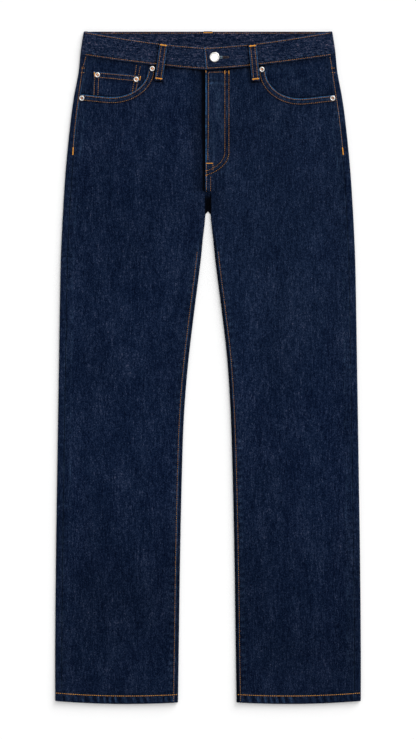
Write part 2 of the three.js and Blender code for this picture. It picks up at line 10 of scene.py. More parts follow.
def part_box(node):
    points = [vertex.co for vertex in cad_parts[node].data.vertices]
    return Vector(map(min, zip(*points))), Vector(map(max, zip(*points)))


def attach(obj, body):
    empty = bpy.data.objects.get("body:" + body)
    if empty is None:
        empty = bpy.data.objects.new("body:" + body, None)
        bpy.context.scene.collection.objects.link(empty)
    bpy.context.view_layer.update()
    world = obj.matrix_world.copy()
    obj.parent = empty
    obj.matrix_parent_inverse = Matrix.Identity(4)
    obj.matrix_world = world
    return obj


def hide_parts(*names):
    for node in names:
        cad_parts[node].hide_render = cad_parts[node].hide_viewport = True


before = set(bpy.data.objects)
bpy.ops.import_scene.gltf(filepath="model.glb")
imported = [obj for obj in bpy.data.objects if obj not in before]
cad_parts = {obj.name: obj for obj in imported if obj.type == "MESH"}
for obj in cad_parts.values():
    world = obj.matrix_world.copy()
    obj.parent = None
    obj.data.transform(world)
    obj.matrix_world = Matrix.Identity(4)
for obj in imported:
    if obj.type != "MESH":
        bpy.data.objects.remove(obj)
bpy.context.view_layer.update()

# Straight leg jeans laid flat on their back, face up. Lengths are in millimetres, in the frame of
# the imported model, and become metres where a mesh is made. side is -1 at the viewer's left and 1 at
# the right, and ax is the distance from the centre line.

MM = 0.001


def node_box(node):
    """Lowest and highest corner of a CAD node, in millimetres."""
    low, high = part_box(node)
    return np.array(low) / MM, np.array(high) / MM


# --- driving sizes

CLOTH = 1.2
HALF_SEAM = 0.15
GAP = 2 * HALF_SEAM  # between neighbouring pieces
SOLE = 0.3  # the thread on the underside stands this far out of the cloth

HIP_TOP = 6.0
LEG_TOP = 3.6
HEM_TOP = 7.4
HEM_RISE = (-455, -535)
EDGE_RISE = (6, 46)

OUTSEAM_IN = 10.8
INSEAM_FLAT = 1.5
INSEAM_STITCH_IN = {-1: 7.3, 1: 6.4}
INSEAM_TURN = (200.0, 250.0)
JOIN_IN = 4.0  # from the inner fold's end to where the front panel's columns start

BAND_WALL = 2.4
BAND_TOP = 7.2
BAND_HALF = 204.0
BAND_BACK = (513.0, 551.0)
BAND_ROWS = (2.2, 1.9)  # its stitching, in from its foot and from its head
SEAT_RISE = 1.5

FLY_EDGE = -4.5
FLY_TOP = 6.5
FLY_ROW = dict(x=34.3, top=486.5, turn=353.0, width=67.2, drop=42.3)
FLY_COLUMN = 14.0  # where the front panel's columns start above the crotch
UNDER_TOP = 5.0
UNDERLAP_END = 5.0
LAP_END = (-3.6, -6.6)  # foot and head of the waistband's upper end
LAP_UNDER_END = 36.0
LAP_TOP = 9.3
LAP_FLAT, LAP_RUN = 36.0, 28.0
LAP_ROW = 2.4
BUTTONHOLE = (8.3, 33.0, 1.0)  # start, end and half width

HEM = dict(inner=-549.5, outer=-547.0, bow=3.65, back_bow=1.0, height=15.0, wall=2.0)
HEM_FOOT = -549.0
HEM_STITCH = 13.2
PAIR = 6.7  # between the two rows of a double topstitch
CROTCH = dict(gap_top=251.5, seat_end=256.0, front_end=285.0, closed=292.0, lapped=300.0)
YOKE = dict(side=487.0, centre=442.0, half_width=216.0)

# half widths from the centre line, at heights along the garment
OUTLINE = (
    # y, outer, inner
    (-548, 250.8, 48.0),
    (-460, 250.9, 46.7),
    (-303, 249.5, 44.4),
    (-145, 247.1, 40.8),
    (-67, 245.9, 37.7),
    (12, 244.6, 31.8),
    (91, 243.4, 22.7),
    (170, 241.9, 12.6),
    (209, 240.4, 8.6),
    (253, 238.2, 4.2),
    (327, 233.3, 4.0),
    (406, 225.3, 4.0),
    (445, 219.8, 4.0),
    (485, 212.4, 4.0),
    (520, 208.8, 4.0),
    (552, 203.8, 4.0),
)
GAP_SHIFT = (-1.2, 60, -120)  # how far the space between the legs moves over, from and to a height

# front pocket openings: quarter ellipse, then a slight climb to the outseam
MOUTH = {
    -1: dict(low=158.0, low_y=443.3, reach=60.0, height=45.7, climb=0.108),
    1: dict(low=151.0, low_y=440.9, reach=57.0, height=47.1, climb=0.118),
}
MOUTH_SOFTEN = 8.0
MOUTH_ROWS = (2.0, 9.0)
COIN = dict(top_left=(-187.5, 485.6), top_right=(-109.5, 478.2), foot_left=-189.5, foot_right=-117.5)
COIN_ROWS = dict(top=(3.0, 10.0), left=(2.2, 8.6))
BACK_POCKET = dict(inner=52.0, outer=196.0, top=436.0, tilt=10.0, narrow=9.0, side_foot=305.0, point=282.0)

CREASES = (
    # soft folds in the front: x, y, direction in degrees, half length, half width, height
    (-48, 262, 24, 62, 11, 0.8),
    (-70, 214, 38, 70, 14, -0.6),
    (52, 258, -22, 58, 11, 0.7),
    (84, 206, -40, 64, 15, -0.5),
    (96, 52, 8, 46, 15, 0.6),
    (-150, -44, -10, 52, 16, 0.5),
    (150, -250, 14, 60, 18, 0.5),
    (-120, -330, -6, 56, 18, 0.45),
)

LOOPS_FRONT = {
    # head and foot of each
    "belt_loop_front_left": ((-72.5, 532.0), (-81.2, 469.7)),
    "belt_loop_front_right": ((72.7, 531.0), (78.6, 468.9)),
}
LOOPS_BACK = ("belt_loop_back_left", "belt_loop_back_centre", "belt_loop_back_right")
LOOP_WIDTH, LOOP_THICK = 13.3, 2.0
LOOP_ROW = LOOP_WIDTH / 2 - 3.3  # its stitching, out from its middle


def sided(kind, side):
    return kind + ("_left" if side < 0 else "_right")


# --- numbers and noise


def smooth(low, high, value):
    t = np.clip((np.asarray(value, float) - low) / (high - low), 0, 1)
    return t * t * (3 - 2 * t)


def lerp(a, b, t):
    return a + (b - a) * t


def bump(value, width):
    """1 at zero, falling smoothly to nothing a little past width."""
    return np.exp(-((np.asarray(value, float) / width) ** 2))


def above(value):
    return np.maximum(value, 0)


def fall(distance, width):
    """1 at zero and below, dying away over a few widths."""
    return np.exp(-above(distance) / width)


def share(value):
    """A number from -1 to 1 as one from 0 to 1."""
    return 0.5 + 0.5 * value


def table_curve(rows, column):
    """A smooth curve through one column of a table whose first column is y."""
    y = np.array([row[0] for row in rows], float)
    v = np.array([row[column] for row in rows], float)
    low = np.maximum(np.arange(len(y)) - 1, 0)
    high = np.minimum(np.arange(len(y)) + 1, len(y) - 1)
    slope = (v[high] - v[low]) / (y[high] - y[low])

    def at(where):
        where = np.asarray(where, float)
        i = np.clip(np.searchsorted(y, where, side="left") - 1, 0, len(y) - 2)
        span = y[i + 1] - y[i]
        t = np.clip((where - y[i]) / span, 0, 1)
        bend = span * t * (1 - t)
        return lerp(v[i], v[i + 1], smooth(0, 1, t)) + bend * (slope[i] * (1 - t) - slope[i + 1] * t)

    return at


outer_edge = table_curve(OUTLINE, 1)
half_gap = table_curve(OUTLINE, 2)


def inner_edge(side, y):
    shift, start, end = GAP_SHIFT
    return half_gap(y) + side * shift * smooth(start, end, y)


@functools.lru_cache(maxsize=16)
def random_grid(size, seed):
    """The same numbers from -1 to 1 each time that a seed comes up."""
    return np.random.default_rng(seed).uniform(-1, 1, (size, size))


def noise(x, y, cell, seed):
    """Smooth noise from -1 to 1, with features about cell across; cell is a number or (x, y)."""
    cell_x, cell_y = cell if isinstance(cell, tuple) else (cell, cell)
    size = 512
    lattice = random_grid(size, seed)
    u = np.asarray(x, float) / cell_x + 1000
    v = np.asarray(y, float) / cell_y + 1000
    i, j = np.floor(u).astype(int), np.floor(v).astype(int)
    fu, fv = smooth(0, 1, u - i), smooth(0, 1, v - j)
    i0, j0, i1, j1 = i % size, j % size, (i + 1) % size, (j + 1) % size
    low = lerp(lattice[i0, j0], lattice[i1, j0], fu)
    high = lerp(lattice[i0, j1], lattice[i1, j1], fu)
    return lerp(low, high, fv)


def pucker(along, seed, pitch=11.5):
    """Uneven ripples along a seam, from -1 to 1."""
    strength = 0.62 + 0.38 * noise(along, 0, 26, seed + 1)
    return strength * np.sin(2 * math.pi * along / pitch + 2.2 * noise(along, 0, 34, seed))


def rumple(x, y):
    """Gentle unevenness of cloth that has been smoothed out by hand."""
    return 0.42 * (noise(x, y, 74, 5) + 0.55 * noise(x, y, 33, 6)) + 0.16 * noise(x, y, (13, 21), 7)


def turned_axes(x, y, centre, degrees):
    """Distances from centre along a direction and across it."""
    c, s = math.cos(math.radians(degrees)), math.sin(math.radians(degrees))
    x, y = x - centre[0], y - centre[1]
    return x * c + y * s, y * c - x * s


# --- heights of the cloth


def fold_height(y):
    return lerp(HIP_TOP, HEM_TOP, smooth(*HEM_RISE, y))


def crease_height(x, y):
    height = 0
    for cx, cy, turn, length, width, high in CREASES:
        along, across = turned_axes(x, y, (cx, cy), turn)
        height = height + high * bump(along, length) * bump(across, width)
    return height


def front_top(side, ax, y):
    """Height of the front cloth without seams."""
    fold = fold_height(y)
    middle = lerp(lerp(LEG_TOP, HIP_TOP, smooth(150, 320, y)), fold, smooth(*HEM_RISE, y))
    from_edge = np.minimum(outer_edge(y) - ax, ax - inner_edge(side, y))
    open_cloth = smooth(EDGE_RISE[0], EDGE_RISE[0] + 14, from_edge) * (1 - smooth(300, 340, y))
    return lerp(fold, middle, smooth(*EDGE_RISE, from_edge)) + crease_height(side * ax, y) * open_cloth


def seat_lift(part, y):
    """How far the seat is off the surface, part of the way from the centre line to the side."""
    outer_fall = 1 - smooth(0.93, 0.985, part)
    inner_fall = (1 - smooth(0.14, 0.2, part)) * (1 - smooth(425, 441, y))
    return SEAT_RISE * outer_fall * smooth(251, 268, y) * (1 - inner_fall)


def off_sole(z, top):
    """Height z in a stack as high as top, when that is squeezed to leave room for thread under it."""
    return SOLE + z * (1 - SOLE / top)


# --- edges of the pieces


def band_edge(centre, rise, power):
    return lambda x: centre + rise * np.minimum(np.abs(x) / BAND_HALF, 1) ** power


band_foot = band_edge(488.4, 23, 1.3)
band_head = band_edge(525, 26, 1.42)


def mouth_edge(side, ax):
    m = MOUTH[side]
    past = above(ax - m["low"])
    part = np.clip((m["low"] - ax) / m["reach"], 0, 1)
    climb = m["climb"] * (past - MOUTH_SOFTEN * (1 - np.exp(-past / MOUTH_SOFTEN)))
    return m["low_y"] + climb + m["height"] * (1 - np.sqrt(1 - part * part))


def mouth_start(side):
    return MOUTH[side]["low"] - MOUTH[side]["reach"]


def mouth_line(side, inset=0.0):
    """Points (ax, y) along the pocket mouth, from the waistband to the outseam, set into the panel."""
    m = MOUTH[side]
    turn = np.linspace(math.radians(4), math.pi / 2, 45)
    ax = m["low"] - (m["reach"] + inset) * np.cos(turn)
    y = m["low_y"] + m["height"] - (m["height"] + inset) * np.sin(turn)
    climb = np.linspace(m["low"] + 1.5, outer_edge(446) - OUTSEAM_IN, 45)
    return np.concatenate([ax, climb]), np.concatenate([y, mouth_edge(side, climb) - inset])


def panel_top(side, ax):
    band = band_foot(ax) - GAP
    return np.where(ax < mouth_start(side), band, np.minimum(mouth_edge(side, ax), band))


def hem_edge(side, ax, is_back=False):
    start = inner_edge(side, HEM["inner"])
    part = np.clip((ax - start) / (outer_edge(HEM["outer"]) - start), 0, 1)
    bow = HEM["back_bow"] if is_back else HEM["bow"]
    return lerp(HEM["inner"], HEM["outer"], part) - bow * 4 * part * (1 - part)


def outseam(y):
    """Where the back's edge lies on the front face."""
    return outer_edge(y) - OUTSEAM_IN


def front_seam_x(y):
    return outseam(y) - GAP


def yoke_seam(ax):
    return lerp(YOKE["centre"], YOKE["side"], np.minimum(ax / YOKE["half_width"], 1))


def fly_line(offset):
    """Points (x, y) of one row of the fly's stitching, offset in from its outer row."""
    x, y = FLY_ROW["x"] - offset, FLY_ROW["turn"]
    turn = np.linspace(0, math.radians(65), 14)
    width, drop = FLY_ROW["width"] - offset * 1.73, FLY_ROW["drop"] - offset * 1.16
    curve = np.stack([x - width * (1 - np.cos(turn)), y - drop * np.sin(turn)], -1)
    return np.concatenate([[(x, FLY_ROW["top"])], curve])


def line_distance(x, y, line_x, line_y):
    """Distance of each point from a line of points, and how far along the line it is."""
    flat_x, flat_y = np.ravel(x), np.ravel(y)
    best = np.full(flat_x.shape, 1e9)
    along = np.zeros(flat_x.shape)
    run = 0.0
    for ax, ay, bx, by in zip(line_x[:-1], line_y[:-1], line_x[1:], line_y[1:]):
        dx, dy = bx - ax, by - ay
        size = math.hypot(dx, dy)
        t = np.clip(((flat_x - ax) * dx + (flat_y - ay) * dy) / (size * size), 0, 1)
        away = np.hypot(flat_x - ax - t * dx, flat_y - ay - t * dy)
        closer = away < best
        best[closer] = away[closer]
        along[closer] = run + t[closer] * size
        run += size
    return best.reshape(np.shape(x)), along.reshape(np.shape(x))


# --- meshes


def make_mesh(name, points, faces, flat_from=None, **fields):
    """An object that faces outwards, from points in millimetres; faces from flat_from on are flat."""
    points = np.asarray(points, float)
    mesh = bpy.data.meshes.new(name)
    mesh.from_pydata((points * MM).tolist(), [], faces)
    shade = np.ones(len(faces), bool)
    if flat_from is not None:
        shade[flat_from:] = False
    mesh.polygons.foreach_set("use_smooth", shade)
    for key, values in fields.items():
        layer = mesh.attributes.new(key, "FLOAT", "POINT")
        layer.data.foreach_set("value", np.asarray(values, np.float32))
    mesh.update()
    mesh.calc_loop_triangles()
    index = np.zeros(len(mesh.loop_triangles) * 3, int)
    mesh.loop_triangles.foreach_get("vertices", index)
    a, b, c = points[index.reshape(-1, 3)].transpose(1, 0, 2)
    if np.einsum("ij,ij", a, np.cross(b, c)) < 0:
        mesh.flip_normals()
    obj = bpy.data.objects.new(name, mesh)
    bpy.context.scene.collection.objects.link(obj)
    return obj


def grid_points(x, y, z):
    return np.stack(np.broadcast_arrays(x, y, z), -1)


def shell(piece, outer, inner, wear_and_highlight, shade, loop=False):
    """A closed wall of cloth: outer[i, j] is its face and inner[i, j], at every other point, its back.

    The last two give each point of outer its paleness, from wear and painted highlight, and its darkening,
    mostly painted shade.
    """
    inner = inner[::2, ::2]
    points = np.concatenate([outer.reshape(-1, 3), inner.reshape(-1, 3)])
    count = outer[..., 0].size
    front = np.arange(count).reshape(outer.shape[:2])
    back = np.arange(count, len(points)).reshape(inner.shape[:2])
    if loop:
        front = np.concatenate([front, front[:1]])
        back = np.concatenate([back, back[:1]])
    quads = [
        np.stack([front[:-1, :-1], front[1:, :-1], front[1:, 1:], front[:-1, 1:]], -1).reshape(-1, 4),
        np.stack([back[:-1, :-1], back[:-1, 1:], back[1:, 1:], back[1:, :-1]], -1).reshape(-1, 4),
    ]
    faces = np.concatenate(quads).tolist()
    rim_from = len(faces)

    def rim(fine, coarse, turn):
        for k in range(len(coarse) - 1):
            a, b, c = fine[2 * k], fine[2 * k + 1], fine[2 * k + 2]
            p, q = coarse[k], coarse[k + 1]
            for face in ([a, p, b], [b, p, q, c]):
                faces.append([int(v) for v in (face[::-1] if turn else face)])

    rim(front[:, 0], back[:, 0], False)
    rim(front[:, -1], back[:, -1], True)
    if not loop:
        rim(front[0], back[0], True)
        rim(front[-1], back[-1], False)
    fields = {}
    for key, values in (("wear_and_highlight", wear_and_highlight), ("shade", shade)):
        values = np.clip(values, 0, 1)
        fields[key] = np.concatenate([values.ravel(), values[::2, ::2].ravel()])
    return make_mesh(piece + "_cloth", points, faces, rim_from, **fields)


def raised(side, outer, inner, height):
    """Lifts the face by height, and takes both grids to their side of the centre line."""
    outer[..., 2] += height
    for grid in (outer, inner):
        grid[..., 0] *= side
    return outer, inner


def spaced(*stretches):
    """An odd number of places along a line, from stretches of (start, end, step) end to end."""
    places = []
    for start, end, step in stretches:
        count = max(1, round(abs(end - start) / step))
        places.extend(np.linspace(start, end, count, endpoint=False))
    places.append(stretches[-1][1])
    if len(places) % 2 == 0:
        places.insert(1, (places[0] + places[1]) / 2)
    return np.array(places, float)


# --- sections of a leg


def half_turn(y):
    """Length of cloth round the inner fold."""
    return math.pi * fold_height(y) / 2


def fold_point(side, y, way, depth):
    """Point (ax, z) of the inner fold, way round from the underside; depth is inside the face."""
    radius = fold_height(y) / 2
    angle = np.clip(way, 0, half_turn(y)) / radius
    ax = inner_edge(side, y) + radius - (radius - depth) * np.sin(angle) + above(way - half_turn(y))
    return ax, radius - (radius - depth) * np.cos(angle)


def inseam_way(y):
    return lerp(half_turn(y) + INSEAM_FLAT, half_turn(y) / 2, smooth(*INSEAM_TURN, y))


def fly_closed(y):
    return smooth(CROTCH["front_end"], CROTCH["closed"], y)


def front_inner_end(side, y, part, depth):
    """Point (ax, z) of the front's inner end: round the fold on a leg, flat at the fly."""
    into_crotch = smooth(CROTCH["gap_top"], CROTCH["seat_end"], y)
    low = lerp(inseam_way(y) + HALF_SEAM, half_turn(y) * 0.345, into_crotch)
    fold_ax, fold_z = fold_point(side, y, lerp(low, half_turn(y) + JOIN_IN, part), depth)
    lapped = smooth(CROTCH["closed"], CROTCH["lapped"], y)
    end = FLY_EDGE if side > 0 else lerp(FLY_EDGE - 1.1, UNDERLAP_END, lapped)
    x = lerp(end, side * FLY_COLUMN, part)
    z = FLY_TOP if side > 0 else lerp(UNDER_TOP, HIP_TOP, smooth(-6, -13, x))
    return lerp(fold_ax, side * x, fly_closed(y)), lerp(fold_z, z - depth, fly_closed(y))


def front_column(side, waist_x, y, depth):
    """Point (ax, z) of the front on the column that meets the waist at waist_x."""
    closed = fly_closed(y)
    start = lerp(inner_edge(side, y) + fold_height(y) / 2 + JOIN_IN, FLY_COLUMN, closed)
    part = (waist_x - FLY_COLUMN) / (front_seam_x(488) - FLY_COLUMN)
    ax = lerp(start, front_seam_x(y), part)
    to_fly = closed * (1 - smooth(FLY_COLUMN, 40, ax)) if side > 0 else 0
    return ax, lerp(front_top(side, ax, y), FLY_TOP, to_fly) - depth


def panel_rows(foot, head):
    """Heights of one column's points, from its foot to its head: an odd number of them."""
    leg, thigh, crotch, hip = -520.0, 244.0, 304.0, 425.0
    return np.concatenate([
        foot + (leg - foot) * np.linspace(0, 1, 26)[:-1] ** 1.15,
        np.linspace(leg, thigh, 272, endpoint=False),
        np.linspace(thigh, crotch, 34, endpoint=False),
        np.linspace(crotch, hip, 42, endpoint=False),
        hip + (head - hip) * (1 - (1 - np.linspace(0, 1, 36)) ** 1.5),
    ])


# --- fronts

PUCKER_SEED = {-1: 31, 1: 47}


def seam_edge(distance, roll=0.45, width=0.7):
    """Height lost where a turned edge rolls down."""
    return -roll * fall(distance, width)


def leg_shade(y):
    """The legs are a little darker towards their ends."""
    return 0.09 + 0.19 * smooth(-150, -420, y)


def crotch_shade(ax, y):
    """The deep gap between the legs, just below where they part."""
    return (1 - smooth(4.0, 6.2, ax)) * smooth(250.5, 252.5, y) * (1 - smooth(276, 289, y))


def loop_shade(x, y):
    """Painted shadow on the cloth close along the front belt loops, most on their left and below them."""
    shade = 0
    for head, foot in LOOPS_FRONT.values():
        rise = np.subtract(head, foot)
        up, across = turned_axes(x, y, foot, math.degrees(math.atan2(rise[1], rise[0])))
        beside = np.abs(across) - LOOP_WIDTH / 2
        away = np.hypot(above(beside), above(np.maximum(-up, up - np.hypot(*rise))))
        shade = shade + np.where((across > 0) | (up < 0), 1.3, 0.6) * np.exp(-away / 2.0)
    return shade


# Each of these gives what one feature of a front panel adds: height, paleness from wear and painted
# highlight, and darkening that is mostly painted shade.


def outseam_marks(side, ax, y, seed, patch):
    """The pressed-open allowance shows through as a low ridge, with painted shade along the seam and in the
    hollows of its ripples.
    """
    a = front_seam_x(y) - ax
    ripple = pucker(y, seed)
    wobble = 1.4 * noise(y, 0, 20, seed + 2)
    height = 0.42 * (1 - smooth(9.0, 11.6, a + wobble)) + seam_edge(a) + 0.34 * ripple * bump(a - 2, 9)
    wear_and_highlight = 0.3 * bump(a - 0.6, 1.0) * patch + 0.3 * bump(a + wobble - 10.0, 1.6) * patch**2
    wear_and_highlight += 0.2 * above(ripple) * bump(a - 5, 5) * patch
    shade = (0.1 + 0.25 * smooth(300, 350, y)) * bump(a + 0.4, 1.0)
    return height, wear_and_highlight, shade + 0.2 * above(-ripple) * bump(a - 3, 5)


def inseam_marks(side, ax, y, seed, patch):
    """Felled and topstitched, up to where the fly's stitching ends, with painted shade beside the row and in
    the hollows of its ripples.
    """
    leg = 1 - smooth(185, 215, y)
    b = ax - inner_edge(side, y) - fold_height(y) / 2 - INSEAM_FLAT
    stitch = INSEAM_STITCH_IN[side] - 4.5
    ripple = pucker(y, seed + 5, 11.0)
    height = 0.5 * (1 - smooth(6.2, 8.6, b)) + seam_edge(b) - 0.3 * bump(b - stitch, 0.9)
    height += 0.4 * ripple * bump(b - 7, 5.5)
    wear_and_highlight = 0.5 * bump(b - stitch + 1.5, 0.75) + 0.36 * above(ripple) * bump(b - 7.5, 4)
    shade = 0.25 * (bump(b - stitch - 1.3, 0.9) + above(-ripple) * bump(b - 6, 4))
    return leg * height, leg * wear_and_highlight, leg * shade


def mouth_marks(side, ax, y, seed, patch):
    """The pocket mouth's rolled edge and two rows of stitching, with painted shade along the rows."""
    d, s = line_distance(ax, y, *mouth_line(side))
    near = (y > 380) * (1 - smooth(16, 24, d))
    ripple = pucker(s, seed + 9, 7.5)
    height = 0.7 * (1 - smooth(8.4, 10.8, d)) + seam_edge(d, 0.5) + 0.3 * ripple * bump(d - 5.5, 3.4)
    height -= 0.36 * bump(d - MOUTH_ROWS[0], 0.8) + 0.34 * bump(d - MOUTH_ROWS[1], 0.9)
    wear_and_highlight = 1.0 * bump(d - 0.5, 0.8) + (0.12 + 0.2 * ripple) * bump(d - 5.4, 2.4) * (0.4 + patch)
    shade = 0.45 * bump(d - 10.6, 1.2) + 0.3 * bump(d - 3.3, 0.8)
    return near * height, near * wear_and_highlight, near * shade


def waist_marks(side, ax, y, seed, patch):
    """The cloth dips under the waistband, with painted shade along the band's foot and in the hollows of its
    ripples.
    """
    c = band_foot(ax) - GAP - y
    ripple = pucker(side * ax, seed + 13, 9.5)
    height = seam_edge(c, 0.7, 1.3) + 0.25 * ripple * bump(c - 2, 7)
    shade = 0.95 * fall(c, 2.1) + 0.25 * fall(c, 7) + 0.3 * above(-ripple) * bump(c - 4, 4)
    return height, 0.26 * above(ripple) * bump(c - 5, 4) * patch, shade


def fly_marks(side, ax, y, seed, patch):
    """The upper panel's fly with its stitching and painted shade along its rows, or the painted shadow on
    the panel under it.
    """
    x = side * ax
    closed = fly_closed(y)
    if side < 0:
        dark = -12.0 - 1.6 * smooth(330, 430, y)
        shade = 0.3 * smooth(-38, -10, x) + 0.9 * smooth(dark, dark + 6.5, x)
        return -closed * smooth(-15, -6, x), 0, closed * shade
    e = x - FLY_EDGE
    ripple = pucker(y, seed + 17, 8.5)
    wrinkle = noise(x, y, (4.5, 26), seed + 18)
    inside = (1 - smooth(33.4, 36.2, x)) * smooth(312, 320, y)
    height = seam_edge(e, 0.5, 0.6) + 0.22 * ripple * bump(e - 2.4, 2.4) - 0.34 * bump(e - 4.8, 0.9)
    height = closed * (height + inside * (0.3 + 0.3 * wrinkle))
    wear_and_highlight = closed * (0.95 * bump(e - 1.1, 1.2) + inside * (0.05 + 0.16 * wrinkle) * smooth(3, 7, e))
    shade = closed * (0.4 * bump(e - 3.6, 0.8) + 0.15 * ripple * bump(e - 7, 3))
    tuck = y - 465 - 1.4 * np.sin(x / 7)  # one small fold across the top of the fly
    height += inside * 0.4 * bump(tuck, 2.4)
    wear_and_highlight += inside * 0.24 * bump(tuck, 1.8)
    shade += inside * 0.35 * (bump(tuck - 4.2, 2.2) + 0.5 * bump(tuck + 4, 2))
    for offset, dark in ((0.0, 0.6), (PAIR, 0.45)):
        d, s = line_distance(x, y, *fly_line(offset).T)
        height -= 0.34 * bump(d, 0.9)
        wear_and_highlight += 0.12 * bump(d - 1.8, 1.0) * share(pucker(s, seed + 21, 6))
        shade += dark * bump(d, 1.4)
    d, s = line_distance(x, y, [3.5, 3.5], [274.0, 322.0])  # the seam below the fly
    return height - 0.3 * bump(d, 0.9), wear_and_highlight, shade


def crotch_marks(side, ax, y, seed, patch):
    """Folds run down into the gap, with painted shade deepening into it."""
    depth = bump(y - 262, 34) * bump(ax - 4, 20)
    height = -(1 - fly_closed(y)) * depth * (0.7 + 0.3 * pucker(y + 0.6 * ax, seed + 25, 17))
    return height, 0, 0.2 * depth + crotch_shade(ax, y)


def hem_marks(side, ax, y, seed, patch):
    """Twisted by its single row of stitching, with painted shade in the hollows of the twist, along the
    bottom edge and above the turned hem's top.
    """
    x = side * ax
    h = y - hem_edge(side, ax)
    lean = 2 * math.pi * (x + 0.25 * h) / 11.4 + 2.4 * noise(x, 0, 30, seed + 29)
    rope = np.sin(lean) * (0.65 + 0.35 * noise(x, 0, 22, seed + 30))
    within = smooth(0.5, 3.0, h) * (1 - smooth(10.4, 12.4, h))
    height = 0.5 * rope * within + 0.35 * (1 - smooth(14.8, 17.2, h)) + seam_edge(h, 0.7, 0.8)
    height += 0.16 * rope * bump(h - 18, 5) - 0.4 * bump(h - HEM_STITCH, 0.9)
    wear_and_highlight = 0.52 * above(rope) ** 1.4 * within + 0.16 * bump(h - 15.4, 1.0) * patch
    return height, wear_and_highlight, 0.3 * bump(h - 16.6, 1.2) + 0.5 * above(-rope) * within + 0.5 * bump(h, 1.0)


def front_details(side, ax, y):
    """Height, paleness from wear and painted highlight, and darkening, mostly painted shade, of a front
    panel at its points.
    """
    x = side * ax
    seed = PUCKER_SEED[side]
    open_cloth = smooth(2, 18, np.minimum(front_seam_x(y) - ax, ax - inner_edge(side, y)))
    patch = share(noise(x, y, (7, 13), seed + 8))
    sums = [
        rumple(x, y) * (0.35 + 0.65 * open_cloth),
        # a little paler towards the upper right
        0.035 * smooth(-80, 60, x) * smooth(-60, 120, y),
        # darker towards the legs' ends and in random patches, with painted shadow by the belt loops
        leg_shade(y) + 0.07 * noise(x, y, (60, 95), seed + 7) + loop_shade(x, y),
    ]
    for marks in (
        outseam_marks, inseam_marks, mouth_marks, waist_marks, fly_marks, crotch_marks, hem_marks,
    ):
        sums = [total + added for total, added in zip(sums, marks(side, ax, y, seed, patch))]
    return sums


def front_panel(side):
    start, last = mouth_start(side), front_seam_x(488)
    columns = [lambda y, depth, p=p: front_inner_end(side, y, p, depth) for p in np.linspace(0, 1, 13)]
    at_fly = len(columns)
    columns += [lambda y, depth, x=x: front_column(side, x, y, depth) for x in spaced(
        # close together at the pocket mouth, where the panel's edge turns
        (FLY_COLUMN + 2.4, start - 14, 2.5), (start - 14, start - 1, 1.2), (start - 1, start + 0.1, 0.4),
        (start + 0.1, start + 2.2, 0.35), (start + 2.2, start + 10, 1.1), (start + 10, last - 13, 2.4),
        (last - 13, last, 1.1),
    )]
    outer, inner = [], []
    for number, column in enumerate(columns):
        head = 480.0
        for _ in range(8):
            ax = float(column(np.array([head]), 0.0)[0][0])
            head = float(panel_top(side, np.abs(ax)) if number >= at_fly else band_foot(ax) - GAP)
        foot = float(hem_edge(side, column(np.array([HEM_FOOT]), 0.0)[0][0]))
        y = panel_rows(foot, head)
        for depth, grid in ((0.0, outer), (CLOTH, inner)):
            ax, z = column(y, depth)
            grid.append(grid_points(ax, y, z))
    outer, inner = np.array(outer), np.array(inner)
    height, wear_and_highlight, shade = front_details(side, outer[..., 0], outer[..., 1])
    inner[..., 2] += np.clip(height, -3, 0.35) * 0.8
    return shell(sided("front", side), *raised(side, outer, inner, height), wear_and_highlight, shade)


# --- backs, yokes and hems


def back_stations():
    """Places round a leg from the outseam to the inseam, an odd number: a stretch and how far in it."""
    stretches = {
        "wrap": np.linspace(0, 1, 9)[:-1],
        "fold": np.linspace(0, math.pi, 15)[:-1],
        "under": np.linspace(1, 0, 60)[:-1],
        "end": np.linspace(0, 1, 12),
    }
    return [(kind, t) for kind, places in stretches.items() for t in places]


def back_point(side, station, y, depth):
    """Point (ax, z) of the back cloth, from the outseam on top round to the inseam."""
    kind, t = station
    fold = fold_height(y)
    radius = fold / 2
    reach = outer_edge(y) - radius
    if kind == "wrap":
        ax, z = lerp(outseam(y), reach, t), fold - depth
    elif kind == "fold":
        ax, z = reach + (radius - depth) * math.sin(t), radius + (radius - depth) * math.cos(t)
    else:
        into_seat = smooth(CROTCH["gap_top"] - 1, CROTCH["seat_end"], y)
        centre = lerp(inner_edge(side, y) + radius, 0.02 + half_turn(y) / 2, into_seat)
        if kind == "under":
            ax, z = lerp(centre, reach, t), seat_lift(t, y) + depth
        else:
            way = t * lerp(inseam_way(y) - HALF_SEAM, half_turn(y) / 2, into_seat)
            fold_ax, fold_z = fold_point(side, y, way, depth)
            ax = lerp(fold_ax, centre - way, into_seat)
            z = lerp(fold_z, seat_lift(0, y) + depth, into_seat)
    return ax, off_sole(z, fold)


def is_under(station):
    return station[0] in ("under", "end") or (station[0] == "fold" and station[1] >= math.pi / 2)


